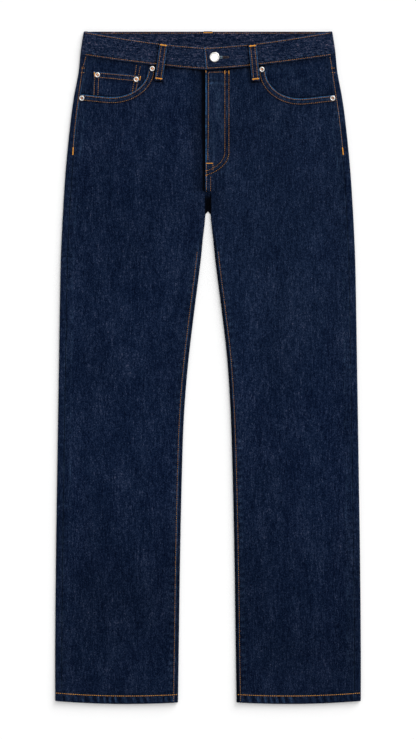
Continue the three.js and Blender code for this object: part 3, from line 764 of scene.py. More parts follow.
def wrap_details(side, ax, y, station):
    """Height, paleness and darkening on the strip of back cloth that shows from the front: the darkening
    mostly painted shade, with a painted highlight on the outer fold.
    """
    kind, t = station
    seed = PUCKER_SEED[side]
    a = ax - outseam(y)
    ripple = pucker(y, seed) * 0.7 + 0.3 * pucker(y, seed + 3, 6.5)
    on_top = {"wrap": 1.0, "fold": max(math.cos(t), 0)}.get(kind, 0.0)
    patch = share(noise(side * ax, y, (7, 13), seed + 8))
    stitched = smooth(345, 352, y)
    height = seam_edge(a) + 0.28 * ripple * bump(a - 3, 7) - stitched * 0.3 * bump(a - 2.4, 0.9)
    wear_and_highlight = 0.2 * bump(a - 0.5, 1.1) * patch + 0.3 * above(ripple) * bump(a - 4, 3.5) * patch
    wear_and_highlight += stitched * (0.65 - 0.4 * smooth(440, 465, y)) * bump(a - 0.8, 0.8)
    # painted highlight: the outer fold turns paler as it rounds up, much more on the right leg, whose outer
    # fold faces the light
    if kind == "fold":
        wear_and_highlight += (0.26 if side > 0 else 0.06) * math.sin(t)
    shade = leg_shade(y) + 0.3 * above(-ripple) * bump(a - 4, 5) + 0.15 * bump(a - 0.2, 0.9)
    shade = shade * (0.4 + 0.6 * on_top)
    wear_and_highlight = wear_and_highlight * on_top
    # At the inner fold by the inseam: paler puckers, and painted shade, deeper on the right leg, whose fold
    # faces away from the light.
    if kind == "end":
        edge = (t > 0.6) * (1 - smooth(200, 230, y))
        wear_and_highlight = wear_and_highlight + 0.12 * edge * share(pucker(y, seed + 5, 11.0))
        shade = shade + (0.35 if side < 0 else 0.75) * edge
    if is_under(station):
        shade = np.maximum(shade, crotch_shade(ax, y))
    return height * on_top, wear_and_highlight, shade


def back_cloth(name, side, rows_of):
    """Back cloth all round a leg; rows_of(place) gives a station's heights from places on it."""
    outer, inner, wear_and_highlights, shades = [], [], [], []
    for station in back_stations():

        def place(y):
            return back_point(side, station, np.array([y]), 0.0)[0][0]

        y = rows_of(station, place)
        ax, z = back_point(side, station, y, 0.0)
        height, wear_and_highlight, shade = wrap_details(side, ax, y, station)
        outer.append(grid_points(side * ax, y, z + height))
        ax, z = back_point(side, station, y, CLOTH)
        inner.append(grid_points(side * ax, y, z))
        wear_and_highlights.append(wear_and_highlight)
        shades.append(shade)
    return shell(sided(name, side), np.array(outer), np.array(inner), wear_and_highlights, shades)


def yoke_foot(station, place):
    return float(yoke_seam(place(YOKE["side"]))) if is_under(station) else YOKE["side"]


def back_panel(side):
    def rows_of(station, place):
        foot = float(hem_edge(side, place(HEM_FOOT), is_under(station)))
        return panel_rows(foot, yoke_foot(station, place) - HALF_SEAM)

    return back_cloth("back", side, rows_of)


def yoke_panel(side):
    def rows_of(station, place):
        round_back = station[1] / math.pi if station[0] == "fold" else float(is_under(station))
        head = lerp(float(band_foot(place(BAND_BACK[0]))), BAND_BACK[0], round_back) - GAP
        return np.linspace(yoke_foot(station, place) + HALF_SEAM, head, 25)

    return back_cloth("yoke", side, rows_of)


def turned_hem(side):
    """The cloth turned up inside the leg's end."""
    y = HEM["inner"]
    radius = fold_height(y) / 2
    start, end = inner_edge(side, y) + radius, outer_edge(y) - radius
    turns = np.linspace(0, math.pi, 9)[1:-1]
    across = np.linspace(0, 1, 41)

    def ring(depth):
        arm = radius - depth
        stops = [(lerp(start, end, t), 2 * radius - depth, False) for t in across]
        stops += [(end + arm * math.sin(a), radius + arm * math.cos(a), a > math.pi / 2) for a in turns]
        stops += [(lerp(end, start, t), depth, True) for t in across]
        stops += [(start - arm * math.sin(a), radius - arm * math.cos(a), a < math.pi / 2) for a in turns]
        columns = []
        for ax, z, under in stops:
            foot = float(hem_edge(side, ax, under)) + 0.35
            rows = np.linspace(foot, foot + HEM["height"], 7)
            columns.append(grid_points(side * ax, rows, off_sole(z, 2 * radius)))
        return np.array(columns)

    inside = CLOTH + 0.35
    outer = ring(inside)
    blank = np.zeros(outer.shape[:2])
    return shell(sided("hem", side), outer, ring(inside + HEM["wall"]), blank, blank, loop=True)


# --- waistband and loops


def band_y(x, on_back, part):
    """Height part of the way up the waistband; on_back is 1 on the level strip at the back."""
    foot = lerp(band_foot(x), BAND_BACK[0], on_back)
    return lerp(foot, lerp(band_head(x), BAND_BACK[1], on_back), part)


def band_details(x, y, on_back):
    """Height, paleness from wear and painted highlight, and painted shade of the waistband."""
    up, down = y - band_y(x, on_back, 0), band_y(x, on_back, 1) - y
    ripple = pucker(x, 61, 8.5)
    height = 0.2 * noise(x, y, (46, 17), 63) + 0.1 * noise(x, y, (15, 5), 64)
    height += 0.13 * np.sin((up + 2.2 * noise(x, 0, 40, 65)) * 2 * math.pi / 7.5) * bump(up - 10, 9)
    height += 0.26 * ripple * (bump(up - 2, 5) + bump(down - 1, 3.5))
    for distance, row in zip((up, down), BAND_ROWS):
        height += seam_edge(distance, 0.6, 0.8) - 0.3 * bump(distance - row, 0.8)
    wear_and_highlight = 0.2 * bump(up - 0.5, 0.9) + 0.4 * bump(down - 0.5, 0.9) + 0.03
    crest = above(np.sin(2 * math.pi * (x + 0.5 * up) / 9 + 2 * noise(x, 0, 30, 67))) ** 2
    patch = share(noise(x, y, (11, 6), 66))
    wear_and_highlight += 0.5 * crest * (bump(up - 6.5, 3.6) + 0.5 * bump(down - 4.5, 2.2)) * patch
    shade = 0.3 * above(-ripple) * (bump(up - 5, 5) + bump(down - 4, 3)) + 0.04
    shade = shade + 0.3 * bump(up - 3.4, 0.9) + 0.3 * bump(down - 3.2, 0.8) + loop_shade(x, y)
    return height, wear_and_highlight, shade


def waistband():
    """One strip: from the underlap round the left side and the back to the end over the front."""
    radius = BAND_TOP / 2
    rows = np.linspace(0, 1, 29)
    under = LAP_TOP - BAND_WALL - GAP
    reach = outer_edge(BAND_BACK[0]) - radius

    def left_top(x):
        return lerp(under, BAND_TOP, smooth(-8, -42, x))

    def right_top(x):
        return lerp(LAP_TOP, BAND_TOP, smooth(LAP_FLAT, LAP_FLAT + LAP_RUN, x))

    def ring(depth):
        """Points, paleness and painted shade of the strip's columns, an odd number; depth is inside its
        face.
        """
        columns = []

        def station(side, nominal, on_back, z_at, push=0.0, square=True):
            y = band_y(nominal, on_back, rows)
            follow = (outer_edge(y) - radius) / reach if square else 1
            x = side * (nominal * follow + push) + 0 * y
            height, wear_and_highlight, shade = (v * (1 - on_back) for v in band_details(x, y, on_back))
            z = z_at(x) + (height if depth == 0 else 0)
            # painted shade on the inside of the band, where it shows at the back
            columns.append((grid_points(x, y, off_sole(z, BAND_TOP)), wear_and_highlight, shade + 0.17 * on_back))

        def arc(side, turns):
            for turn in turns:
                level = radius + (radius - depth) * math.cos(turn)
                station(side, reach, turn / math.pi, lambda x: level, (radius - depth) * math.sin(turn))

        def seat(side, places):
            for place in places:
                lift = SEAT_RISE * (1 - smooth(0.92, 1, place / reach)) + depth
                station(side, place, 1, lambda x: lift)

        turns = np.linspace(0, math.pi, 15)[1:-1]
        for x in np.linspace(LAP_UNDER_END, 0, 24, endpoint=False):
            station(1, x, 0, lambda px: left_top(px) - depth, square=False)
        for x in np.linspace(0, reach, 135):
            station(-1, x, 0, lambda px: left_top(px) - depth)
        arc(-1, turns)
        seat(-1, np.linspace(reach, 0, 80))
        seat(1, np.linspace(0, reach, 80)[1:])
        arc(1, turns[::-1])
        for x in np.linspace(reach, 0, 135):
            station(1, x, 0, lambda px: right_top(px) - depth)
        end = lerp(*LAP_END, rows)
        for part in np.linspace(0, 1, 7)[1:]:
            x = end * part
            y = band_y(x, 0, rows)
            height, wear_and_highlight, shade = band_details(x, y, 0)
            height = height + seam_edge(x - end, 0.8, 0.8) - 0.3 * bump(x - end - LAP_ROW, 0.8)
            z = right_top(x) - depth + (height if depth == 0 else 0)
            wear_and_highlight = wear_and_highlight + 1.0 * bump(x - end - 0.4, 1.2)
            columns.append((grid_points(x, y, off_sole(z, BAND_TOP)), wear_and_highlight, shade))
        return [np.array(part) for part in zip(*columns)]

    outer, wear_and_highlight, shade = ring(0.0)
    band = shell("waistband", outer, ring(BAND_WALL)[0], wear_and_highlight, shade)
    cut_buttonhole(band, under + 0.15)
    return band


def cut_buttonhole(band, floor):
    """Cuts the slit and its round eye through the upper end of the waistband, down to floor."""
    start, end, width = BUTTONHOLE
    middle = button_place()[1]
    slot = [(start, -width), (end, -width / 2), (end, width / 2), (start, width)]
    eye = [(start + 2.5 + 2.6 * math.cos(a), 2.6 * math.sin(a)) for a in np.linspace(0, 6.283, 24, False)]
    for outline in (slot, eye):
        cutter = prism([(x, middle + y) for x, y in outline], floor, LAP_TOP + 4)
        cut = band.modifiers.new("cut", "BOOLEAN")
        cut.object = cutter
        cut.operation = "DIFFERENCE"
        cut.solver = "EXACT"
        apply_modifiers(band)
        bpy.data.objects.remove(cutter)


def prism(outline, low, high):
    count = len(outline)
    points = [(x, y, z) for z in (low, high) for x, y in outline]
    faces = [[i, (i + 1) % count, count + (i + 1) % count, count + i] for i in range(count)]
    faces += [list(range(count))[::-1], list(range(count, 2 * count))]
    return make_mesh("prism", points, faces, 0)


def apply_modifiers(obj):
    bpy.context.view_layer.update()
    ready = obj.evaluated_get(bpy.context.evaluated_depsgraph_get())
    mesh = bpy.data.meshes.new_from_object(ready)
    old = obj.data
    obj.modifiers.clear()
    obj.data = mesh
    bpy.data.meshes.remove(old)
    mesh.name = obj.name


def button_place():
    low, high = node_box("button")
    return (low + high) / 2


def front_loop(name):
    """A loop's strip of doubled cloth, its ends folded under and sewn down."""
    head, foot = LOOPS_FRONT[name]
    edge = band_foot((head[0] + foot[0]) / 2)
    part, row = np.meshgrid(np.linspace(-0.5, 0.5, 17), np.linspace(0, 1, 71), indexing="ij")
    x = lerp(foot[0], head[0], row) + part * LOOP_WIDTH
    y = lerp(foot[1], head[1], row)
    under = lerp(HIP_TOP, BAND_TOP, smooth(edge - 13, edge - 3, y)) + GAP + 0.5 * np.sin(math.pi * row)
    u, v = part * LOOP_WIDTH, row * (head[1] - foot[1])
    from_side = LOOP_WIDTH / 2 - np.abs(u)
    from_end = np.minimum(v, v.max() - v)
    seed = 71 if foot[0] < 0 else 75
    ripple = pucker(v, seed, 9)
    height = seam_edge(from_side, 0.7, 0.7) + seam_edge(from_end, 1.0, 0.7)
    height += 0.5 * (1 - smooth(6.5, 9.0, from_end)) - 0.3 * bump(np.abs(u) - LOOP_ROW, 0.8)
    height += 0.22 * ripple * bump(u, 4) + 0.15 * noise(u, v, 9, seed + 1) - 0.35 * bump(from_end - 4.0, 1.3)
    wear_and_highlight = 0.7 * bump(from_side - 0.7, 0.9) * smooth(1, 4, from_end)
    wear_and_highlight += 0.2 * above(ripple) * bump(from_side - 1.6, 1.6)
    # painted shade across the folded ends, and a slightly darker tone all over
    shade = 0.4 * bump(from_end - 7.6, 1.2) + 0.5 * bump(from_end, 1.2) + 0.1
    outer = grid_points(x, y, under + LOOP_THICK + height)
    return shell(name, outer, grid_points(x, y, under), wear_and_highlight, shade)


def flat_patch(name, corner_at, columns, rows, thickness, seed):
    """A piece lying face down: corner_at(u, v) gives its outline's inside as (x, y)."""
    u, v = np.meshgrid(np.linspace(0, 1, columns), np.linspace(0, 1, rows), indexing="ij")
    x, y = corner_at(u, v)
    wide, tall = abs(x[-1, 0] - x[0, 0]), y[0, -1] - y[0, 0]
    edge = np.minimum(np.minimum(u, 1 - u) * wide, np.minimum(v, 1 - v) * tall)
    outer = grid_points(x, y, SOLE - seam_edge(edge, 0.35))
    wear_and_highlight = 0.55 * bump(edge - 0.5, 1.1) + 0.2 * share(noise(x, y, 9, seed)) * bump(edge - 4, 3)
    # a line of painted shade nine millimetres in from the edge
    return shell(name, outer, grid_points(x, y, SOLE + thickness), wear_and_highlight, 0.2 * bump(edge - 9, 1.3))


def back_loop(name):
    low, high = node_box(name)

    def corner_at(u, v):
        return lerp(low[0], high[0], u), lerp(low[1], high[1], v)

    return flat_patch(name, corner_at, 15, 61, high[2] - low[2], 81)


def back_pocket_corner(side):
    p = BACK_POCKET

    def corner_at(u, v):
        foot = lerp(p["side_foot"], p["side_foot"] + p["tilt"], u)
        foot = foot - (p["side_foot"] + p["tilt"] / 2 - p["point"]) * (1 - np.abs(2 * u - 1))
        y = lerp(foot, p["top"] + p["tilt"] * u, v)
        narrow = p["narrow"] * (1 - v)
        return side * lerp(p["inner"] + narrow, p["outer"] - narrow, u), y

    return corner_at


def back_pocket(side):
    return flat_patch(sided("back_pocket", side), back_pocket_corner(side), 97, 97, CLOTH, 84)


# --- front pockets


def facing_top(side, ax, y):
    """Height of the pocket facing: down under the front panel, up at the outseam's side."""
    clear = smooth(4, 16, ax - mouth_start(side))
    drop = smooth(1, 9, outseam(y) - ax) * (1 - clear * (1 - smooth(0.5, 7, band_foot(ax) - y)))
    return HIP_TOP - (CLOTH + GAP) * drop


def pocket_facing(side):
    start = mouth_start(side)
    straight, seam = 176, 190  # columns are upright up to the first, and lean as the outseam from the second
    places = spaced(
        (start - 9, start + 3, 2.4), (start + 3, straight, 1.6), (straight, front_seam_x(450), 1.1),
    )
    rows = np.linspace(0, 1, 61)
    outer, inner = [], []
    for place in places:
        tuck = 12 * smooth(seam, straight, place)
        tucked = band_foot(place) - 24
        edge = float(panel_top(side, place)) if place > start else tucked
        foot = lerp(tucked, edge - tuck + GAP * (1 - tuck / 12), smooth(start + 1, start + 4, place))
        y = lerp(foot, band_foot(place) - GAP, rows)
        ax = lerp(place, front_seam_x(y) - places[-1] + place, smooth(straight, seam, place))
        covered = (y < panel_top(side, ax) + 1) | (ax < start)
        level = np.where(covered & (ax < seam), HIP_TOP - CLOTH - GAP, facing_top(side, ax, y))
        outer.append(grid_points(ax, y, level))
        inner.append(grid_points(ax, y, level - CLOTH))
    outer, inner = np.array(outer), np.array(inner)
    ax, y = outer[..., 0], outer[..., 1]
    away = y - panel_top(side, ax)
    seen = smooth(2, 8, away)
    a, c = front_seam_x(y) - ax, band_foot(ax) - y
    seed = PUCKER_SEED[side] + 40
    ripple = pucker(y, seed + 2, 9)
    height = seen * (0.22 * noise(ax, y, 24, seed) + 0.12 * noise(ax, y, 9, seed + 1))
    height += 0.18 * ripple * bump(a - 3, 6) + 0.3 * seam_edge(a)
    height += 0.16 * pucker(ax, seed + 4, 9) * bump(c - 2, 5) * seen
    wear_and_highlight = 0.2 * bump(a - 0.7, 0.7) + 0.1 * bump(a - 5, 3.5) * share(ripple)
    wear_and_highlight += 0.07 * seen * smooth(-0.2, 0.8, noise(ax, y, (26, 14), seed + 6))
    for x, level, turn in ((34, 474, 30), (54, 467, 24)):  # two soft folds
        along, across = turned_axes(ax, y, (start + x, level), turn)
        fold = seen * bump(along, 24)
        height += 0.7 * fold * bump(across, 4.5)
        wear_and_highlight += 0.1 * fold * bump(across - 1.5, 3.0)
    # a slightly darker tone, and painted shade just above the panel's edge at the mouth and under the
    # waistband
    shade = 0.1 + 0.8 * fall(away, 1.8) + 0.2 * fall(away, 7) + 0.7 * fall(c, 1.8)
    return shell(sided("pocket_facing", side), *raised(side, outer, inner, height), wear_and_highlight, shade)


def coin_pocket():
    part, row = np.meshgrid(np.linspace(0, 1, 69), np.linspace(0, 1, 45), indexing="ij")
    foot_x = lerp(COIN["foot_left"], COIN["foot_right"], part)
    foot_y = panel_top(-1, -foot_x) + GAP
    top_x, top_y = (lerp(COIN["top_left"][i], COIN["top_right"][i], part) for i in (0, 1))
    x, y = lerp(foot_x, top_x, row), lerp(foot_y, top_y, row)
    z = facing_top(-1, -x, y) + CLOTH + GAP
    down = (1 - row) * (top_y - foot_y)
    left, right = part * 78, (1 - part) * 78
    ripple = pucker(x, 91, 9)
    height = 0.3 * noise(x, y, 19, 92) + 0.14 * noise(x, y, 8, 93)
    height += 0.45 * (1 - smooth(10.4, 12.4, down)) + 0.2 * ripple * bump(down - 6.5, 3)
    height += seam_edge(down, 0.6) + seam_edge(left, 0.6) + seam_edge(right, 0.6)
    height += 0.22 * pucker(y, 95, 8) * bump(left - 5, 3)
    for first, second in zip(COIN_ROWS["top"], COIN_ROWS["left"]):
        height -= 0.32 * bump(down - first, 0.8) + 0.3 * bump(left - second, 0.8)
    wear_and_highlight = 0.5 * bump(down - 0.5, 0.9) + 0.15 * share(ripple) * bump(down - 6.5, 2.6)
    wear_and_highlight += 0.45 * bump(left - 0.5, 1.0) + 0.3 * bump(right - 0.5, 1.0)
    # painted shade at its foot under the front panel's edge, under its turned top, and beside its stitching
    shade = 0.04 + 0.8 * fall(y - foot_y, 1.9) + 0.4 * bump(down - 12.0, 1.1)
    shade += 0.3 * bump(left - 3.6, 0.8) + 0.3 * bump(down - 4.4, 0.8)
    return shell("coin_pocket", grid_points(x, y, z + height), grid_points(x, y, z - CLOTH), wear_and_highlight, shade)


# --- metal


def turned(name, profile, segments, place):
    """A solid turned about the vertical through place, from its profile's (radius, z) points."""
    points, faces = [], []
    for radius, z in profile:
        for angle in np.linspace(0, 2 * math.pi, segments, endpoint=False):
            points.append((place[0] + radius * math.cos(angle), place[1] + radius * math.sin(angle), z))
    for ring in range(len(profile) - 1):
        for k in range(segments):
            a, b = ring * segments + k, ring * segments + (k + 1) % segments
            faces.append([a, b, b + segments, a + segments])
    last = len(points) - segments
    if profile[0] == profile[-1]:
        points = points[:last]
        faces = [[i % last for i in face] for face in faces]
    else:
        faces.append(list(range(segments))[::-1])
        faces.append(list(range(last, last + segments)))
    return make_mesh(name, points, faces)


def arc_profile(*corners):
    """A profile through corners (radius, z, rounding), each rounded off by that much."""
    profile = []
    for i, (r, z, rounding) in enumerate(corners):
        if rounding == 0:
            profile.append((r, z))
            continue
        here = np.array([r, z])
        before, after = (np.array(corners[j][:2]) - here for j in (i - 1, i + 1))
        start = here + before / np.linalg.norm(before) * rounding
        end = here + after / np.linalg.norm(after) * rounding
        for t in np.linspace(0, 1, 5):
            profile.append(tuple((1 - t) ** 2 * start + 2 * t * (1 - t) * here + t * t * end))
    return profile


def button():
    low, high = node_box("button")
    radius, top = (high[0] - low[0]) / 2, high[2] - 0.35
    seat = LAP_TOP + GAP
    profile = arc_profile(
        (0.3, low[2], 0), (2.2, low[2], 0.3), (2.2, seat + 0.2, 0.2), (radius - 0.9, seat, 0.3),
        (radius, seat + 0.7, 0.6), (radius, seat + 1.9, 0.7), (radius - 1.0, top, 0.5),
        (radius - 2.0, top - 0.05, 0.35), (radius - 2.5, top - 0.62, 0.3), (radius - 4.4, top - 0.62, 0.4),
        (radius - 5.4, top - 0.42, 0.3), (0.25, top - 0.36, 0),
    )
    return turned("button_metal", profile, 72, button_place())


def rivet(node):
    """A rivet's ring, or the copper middle that stands up through it."""
    low, high = node_box(node)
    radius, base, top = (high[0] - low[0]) / 2, low[2], high[2]
    hollow, nub = 2.3, 1.35
    if "burr" in node:
        segments = 32
        profile = arc_profile(
            (0.2, base, 0), (radius, base, 0), (radius, base + 0.3, 0.1), (nub, base + 0.35, 0.1),
            (nub, top - 0.3, 0.25), (nub - 0.5, top, 0.3), (0.2, top + 0.02, 0),
        )
    else:
        segments = 44
        profile = arc_profile(
            (hollow, base, 0), (radius, base, 0.2), (radius, base + 0.5, 0.3),
            (radius - 0.7, top - 0.15, 0.3), (radius - 1.3, top, 0.3), (hollow, top - 0.45, 0.2),
            (hollow, base, 0),
        )
    return turned(node + "_metal", profile, segments, (low + high) / 2)


# --- stitches


def face_tree(obj):
    corners = [v.co / MM for v in obj.data.vertices]
    return BVHTree.FromPolygons(corners, [tuple(p.vertices) for p in obj.data.polygons])


class Thread:
    """Gathers the stitches of one mesh, laid on the faces of pieces, or under them."""

    def __init__(self, name, pieces, seed, below=False):
        self.name = name
        self.up = -1 if below else 1
        self.trees = [face_tree(obj) for obj in pieces]
        self.rng = np.random.default_rng(seed)
        self.points, self.faces, self.tone = [], [], []

    def level(self, x, y):
        """Height of the outermost cloth at a place, or None."""
        start = Vector((x, y, 40.0 if self.up > 0 else -20.0))
        hits = [tree.ray_cast(start, Vector((0, 0, -self.up)))[0] for tree in self.trees]
        found = [self.up * hit.z for hit in hits if hit is not None]
        return self.up * max(found) if found else None

    def stitch(self, start, end, width=0.82, proud=0.34, rings=4, brightness=0.0):
        """One stitch from start to end, its middle standing up and its ends going into the cloth."""
        start, end = np.asarray(start, float), np.asarray(end, float)
        tests = (0.12, 0.5, 0.88)
        levels = [self.level(*lerp(start, end, t)) for t in tests]
        if any(level is None for level in levels):
            return
        levels = np.clip(levels, np.median(levels) - 0.7, np.median(levels) + 0.7)
        tone = brightness + float(self.rng.uniform(0, 0.7))
        spots = np.linspace(0, 1, rings + 2)
        levels = np.polyval(np.polyfit(tests, levels, 2), spots)
        side = left_of(start, end) * width / 2
        first = len(self.points)
        for i, t in enumerate(spots):
            swell = math.sin(math.pi * t) ** 0.5 if 0 < t < 1 else 0
            z = levels[i] + self.up * (proud * swell - 0.28)
            for turn in np.radians(range(0, 360, 60)) if 0 < t < 1 else [0]:
                x, y = lerp(start, end, t) + side * math.cos(turn) * swell
                self.points.append((x, y, z + 0.3 * swell * math.sin(turn)))
                self.tone.append(tone)
        last = len(self.points) - 1
        for k in range(6):
            n = (k + 1) % 6
            self.faces.append([first, first + 1 + n, first + 1 + k])
            for a in range(first + 1, last - 6, 6):
                self.faces.append([a + k, a + n, a + 6 + n, a + 6 + k])
            self.faces.append([last, last - 6 + k, last - 6 + n])

    def row(self, xs, ys, pitch=3.1, gap=1.05, sway=0.12, **look):
        """Stitches along a line of points."""
        reach = np.concatenate([[0], np.cumsum(np.hypot(np.diff(xs), np.diff(ys)))])
        count = max(1, round(reach[-1] / pitch))
        step = reach[-1] / count
        for k in range(count):
            ends = []
            for at in (k * step + gap / 2, (k + 1) * step - gap / 2):
                drift = self.rng.uniform(-sway, sway)
                ends.append((np.interp(at, reach, xs) + drift, np.interp(at, reach, ys) + drift))
            self.stitch(*ends, **look)

    def line(self, *corners, **look):
        self.row(*np.transpose(corners), **look)

    def bartack(self, start, end, width=2.4, spacing=0.62):
        """A dense bar of short stitches across the line from start to end."""
        start, end = np.asarray(start, float), np.asarray(end, float)
        length = np.hypot(*(end - start))
        run = (end - start) / length
        across = left_of(start, end) * width / 2 + run * 0.3
        for at in np.arange(spacing / 2, length, spacing):
            self.stitch(start + run * at - across, start + run * at + across, 0.72, 0.55, 3, 0.75)

    def add(self, other):
        base = len(self.points)
        self.points += other.points
        self.faces += [[base + i for i in face] for face in other.faces]
        self.tone += other.tone

    def finished(self):
        return make_mesh(self.name, self.points, self.faces, tone=self.tone)


def left_of(start, end):
    """The unit step to the left of a line, seen from above."""
    dx, dy = end - start
    return np.array([-dy, dx]) / math.hypot(dx, dy)


# the outseam's topstitching: height along the seam, and how far outside it the row runs there
OUTSEAM_STITCH = {
    -1: ((348, 1.2), (386, 2.7), (425, 2.8), (446, 3.3), (468, 4.6), (489, 5.4), (501, 2.8), (510, 1.4)),
    1: ((350, 1.4), (408, 1.2), (437, 1.1), (452, 1.2), (478, 2.6), (494, 2.6), (510, 1.0)),
}
YOKE_ROWS = (4.0, -3.4)
HEM_LEVEL = -535  # near the hem's stitching


def front_threads(cloth):
    leg_pieces = ("front_left", "front_right", "back_left", "back_right")
    hip_pieces = ("yoke_left", "yoke_right", "pocket_facing_left", "pocket_facing_right", "coin_pocket")
    legs = Thread("leg_stitching", [cloth[n] for n in leg_pieces], 201)
    hips = Thread("hip_stitching", [cloth[n] for n in leg_pieces + hip_pieces], 202)
    for side in (-1, 1):
        ax = np.linspace(inner_edge(side, HEM_LEVEL) + 1.5, outer_edge(HEM_LEVEL) - 1.2, 60)
        legs.row(side * ax, hem_edge(side, ax) + HEM_STITCH, gap=0.3, sway=0.03, width=0.95, brightness=0.5)
        y = np.linspace(-547.5, 190, 80)
        legs.row(side * (inner_edge(side, y) + INSEAM_STITCH_IN[side]), y, gap=0.8, width=0.62)
        for inset in MOUTH_ROWS:
            ax, y = mouth_line(side, inset)
            hips.row(side * ax, y)
        heights, out = np.array(OUTSEAM_STITCH[side], float).T
        y = np.linspace(heights[0], heights[-1], 40)
        x = side * (outseam(y) + np.interp(y, heights, out))
        hips.row(x, y)
        hips.bartack((x[0], 348.5), (x[3], 361))
        for offset in YOKE_ROWS:
            y = YOKE["side"] + offset
            hips.line((side * (outseam(y) + 0.6), y), (side * (outseam(y) + 7.5), y))
    fly_stitching(hips)
    coin_stitching(hips)
    return [legs, hips]


def fly_stitching(thread):
    for offset in (0.0, PAIR):
        line = fly_line(offset)
        thread.row(*line.T, width=0.72)
        x, y = line[-1]
        thread.line((x + 4.6, y + 1.5), (x - 0.2, y), proud=0.8, brightness=0.4)
    for line in (
        ((0.8, 484.0), (0.6, 400.0), (-0.3, 340.0)),
        ((0.5, 484.0), (35.0, 484.6)),
        ((-2.5, 333.0), (-2.5, 288.0)),
        ((4.3, 313.0), (4.3, 289.0)),
        ((8.0, 333.0), (8.2, 322.5)),
    ):
        thread.line(*line)
    thread.bartack((-3.4, 334.7), (8.6, 334.7), width=1.7)
    for x in (FLY_ROW["x"] - PAIR, FLY_ROW["x"]):
        thread.bartack((x, 487.0), (x, 481.0), width=1.4)
    thread.bartack((-3.7, 487.6), (-3.2, 483.2), width=1.3)


def coin_stitching(thread):
    for line in (
        # two rows along the top, two down the outer side, two down the inner side
        ((-176.0, 482.4), (-121.0, 477.5)),
        ((-178.0, 475.8), (-122.0, 470.6)),
        ((-185.6, 481.5), (-187.2, 446.6)),
        ((-179.2, 478.0), (-180.6, 446.0)),
        ((-117.2, 496.8), (-124.4, 449.5)),
        ((-111.0, 494.6), (-118.6, 453.5)),
    ):
        thread.line(*line)
    thread.bartack((-186.5, 484.4), (-185.4, 476.6), width=2.0)
    thread.bartack((-110.8, 477.6), (-112.2, 470.2), width=2.0)
    thread.bartack((-116.6, 470.0), (-118.6, 474.8), width=1.6)


def band_threads(cloth):
    thread = Thread("waistband_stitching", [cloth["waistband"]], 203)
    back_head = BAND_BACK[1]
    for side in (-1, 1):
        x = np.linspace(0.0 if side < 0 else LAP_END[0] + 2.6, side * 201.5, 90)
        thread.row(x, band_foot(x) + BAND_ROWS[0])
        thread.row(x, band_head(x) - BAND_ROWS[1])
        x = np.linspace(side * 9, side * 176, 50)
        thread.row(x, 0 * x + back_head - 2.4)
    thread.line((LAP_END[0] + LAP_ROW, 491.5), (LAP_END[1] + LAP_ROW, 522.5))
    thread.line((-8.5, back_head - 2.6), (8.5, back_head - 2.6))
    thread.bartack((-7.4, back_head - 1.3), (7.4, back_head - 1.3), width=1.6)
    for name, ends in LOOPS_FRONT.items():
        head, foot = np.array(ends)
        loop = Thread(name, [cloth[name]], 204)
        run = (head - foot) / np.hypot(*(head - foot))
        side = -left_of(foot, head)
        for off in (-LOOP_ROW, LOOP_ROW):
            loop.line(foot + run + side * off, head - run + side * off)
        for middle in (foot + run * 4.0, head - run * 4.0):
            loop.bartack(middle - side * 5.6, middle + side * 5.6, width=2.6)
        thread.add(loop)
    return thread


def buttonhole_threads(cloth):
    """Close overcast stitches round the slit that the button goes through: its eyelet, then its tail."""
    eyelet = Thread("eyelet_stitching", [cloth["waistband"]], 208)
    slit = Thread("buttonhole_stitching", [cloth["waistband"]], 209)
    end = BUTTONHOLE[1]
    middle, y, _ = button_place()
    look = dict(width=0.7, proud=0.4, rings=3)
    for x in np.arange(middle + 7.0, end + 0.2, 0.75):
        for way in (-1, 1):
            thread = eyelet if x < middle + 12.5 else slit
            thread.stitch((x, y + way * 0.5), (x + 0.25, y + way * 2.0), **look)
    for angle in np.radians(np.arange(-80, 81, 20)):
        inner = (end + 0.3 * math.cos(angle), y + 0.6 * math.sin(angle))
        slit.stitch(inner, (end + 1.8 * math.cos(angle), y + 1.8 * math.sin(angle)), **look)
    return eyelet, slit


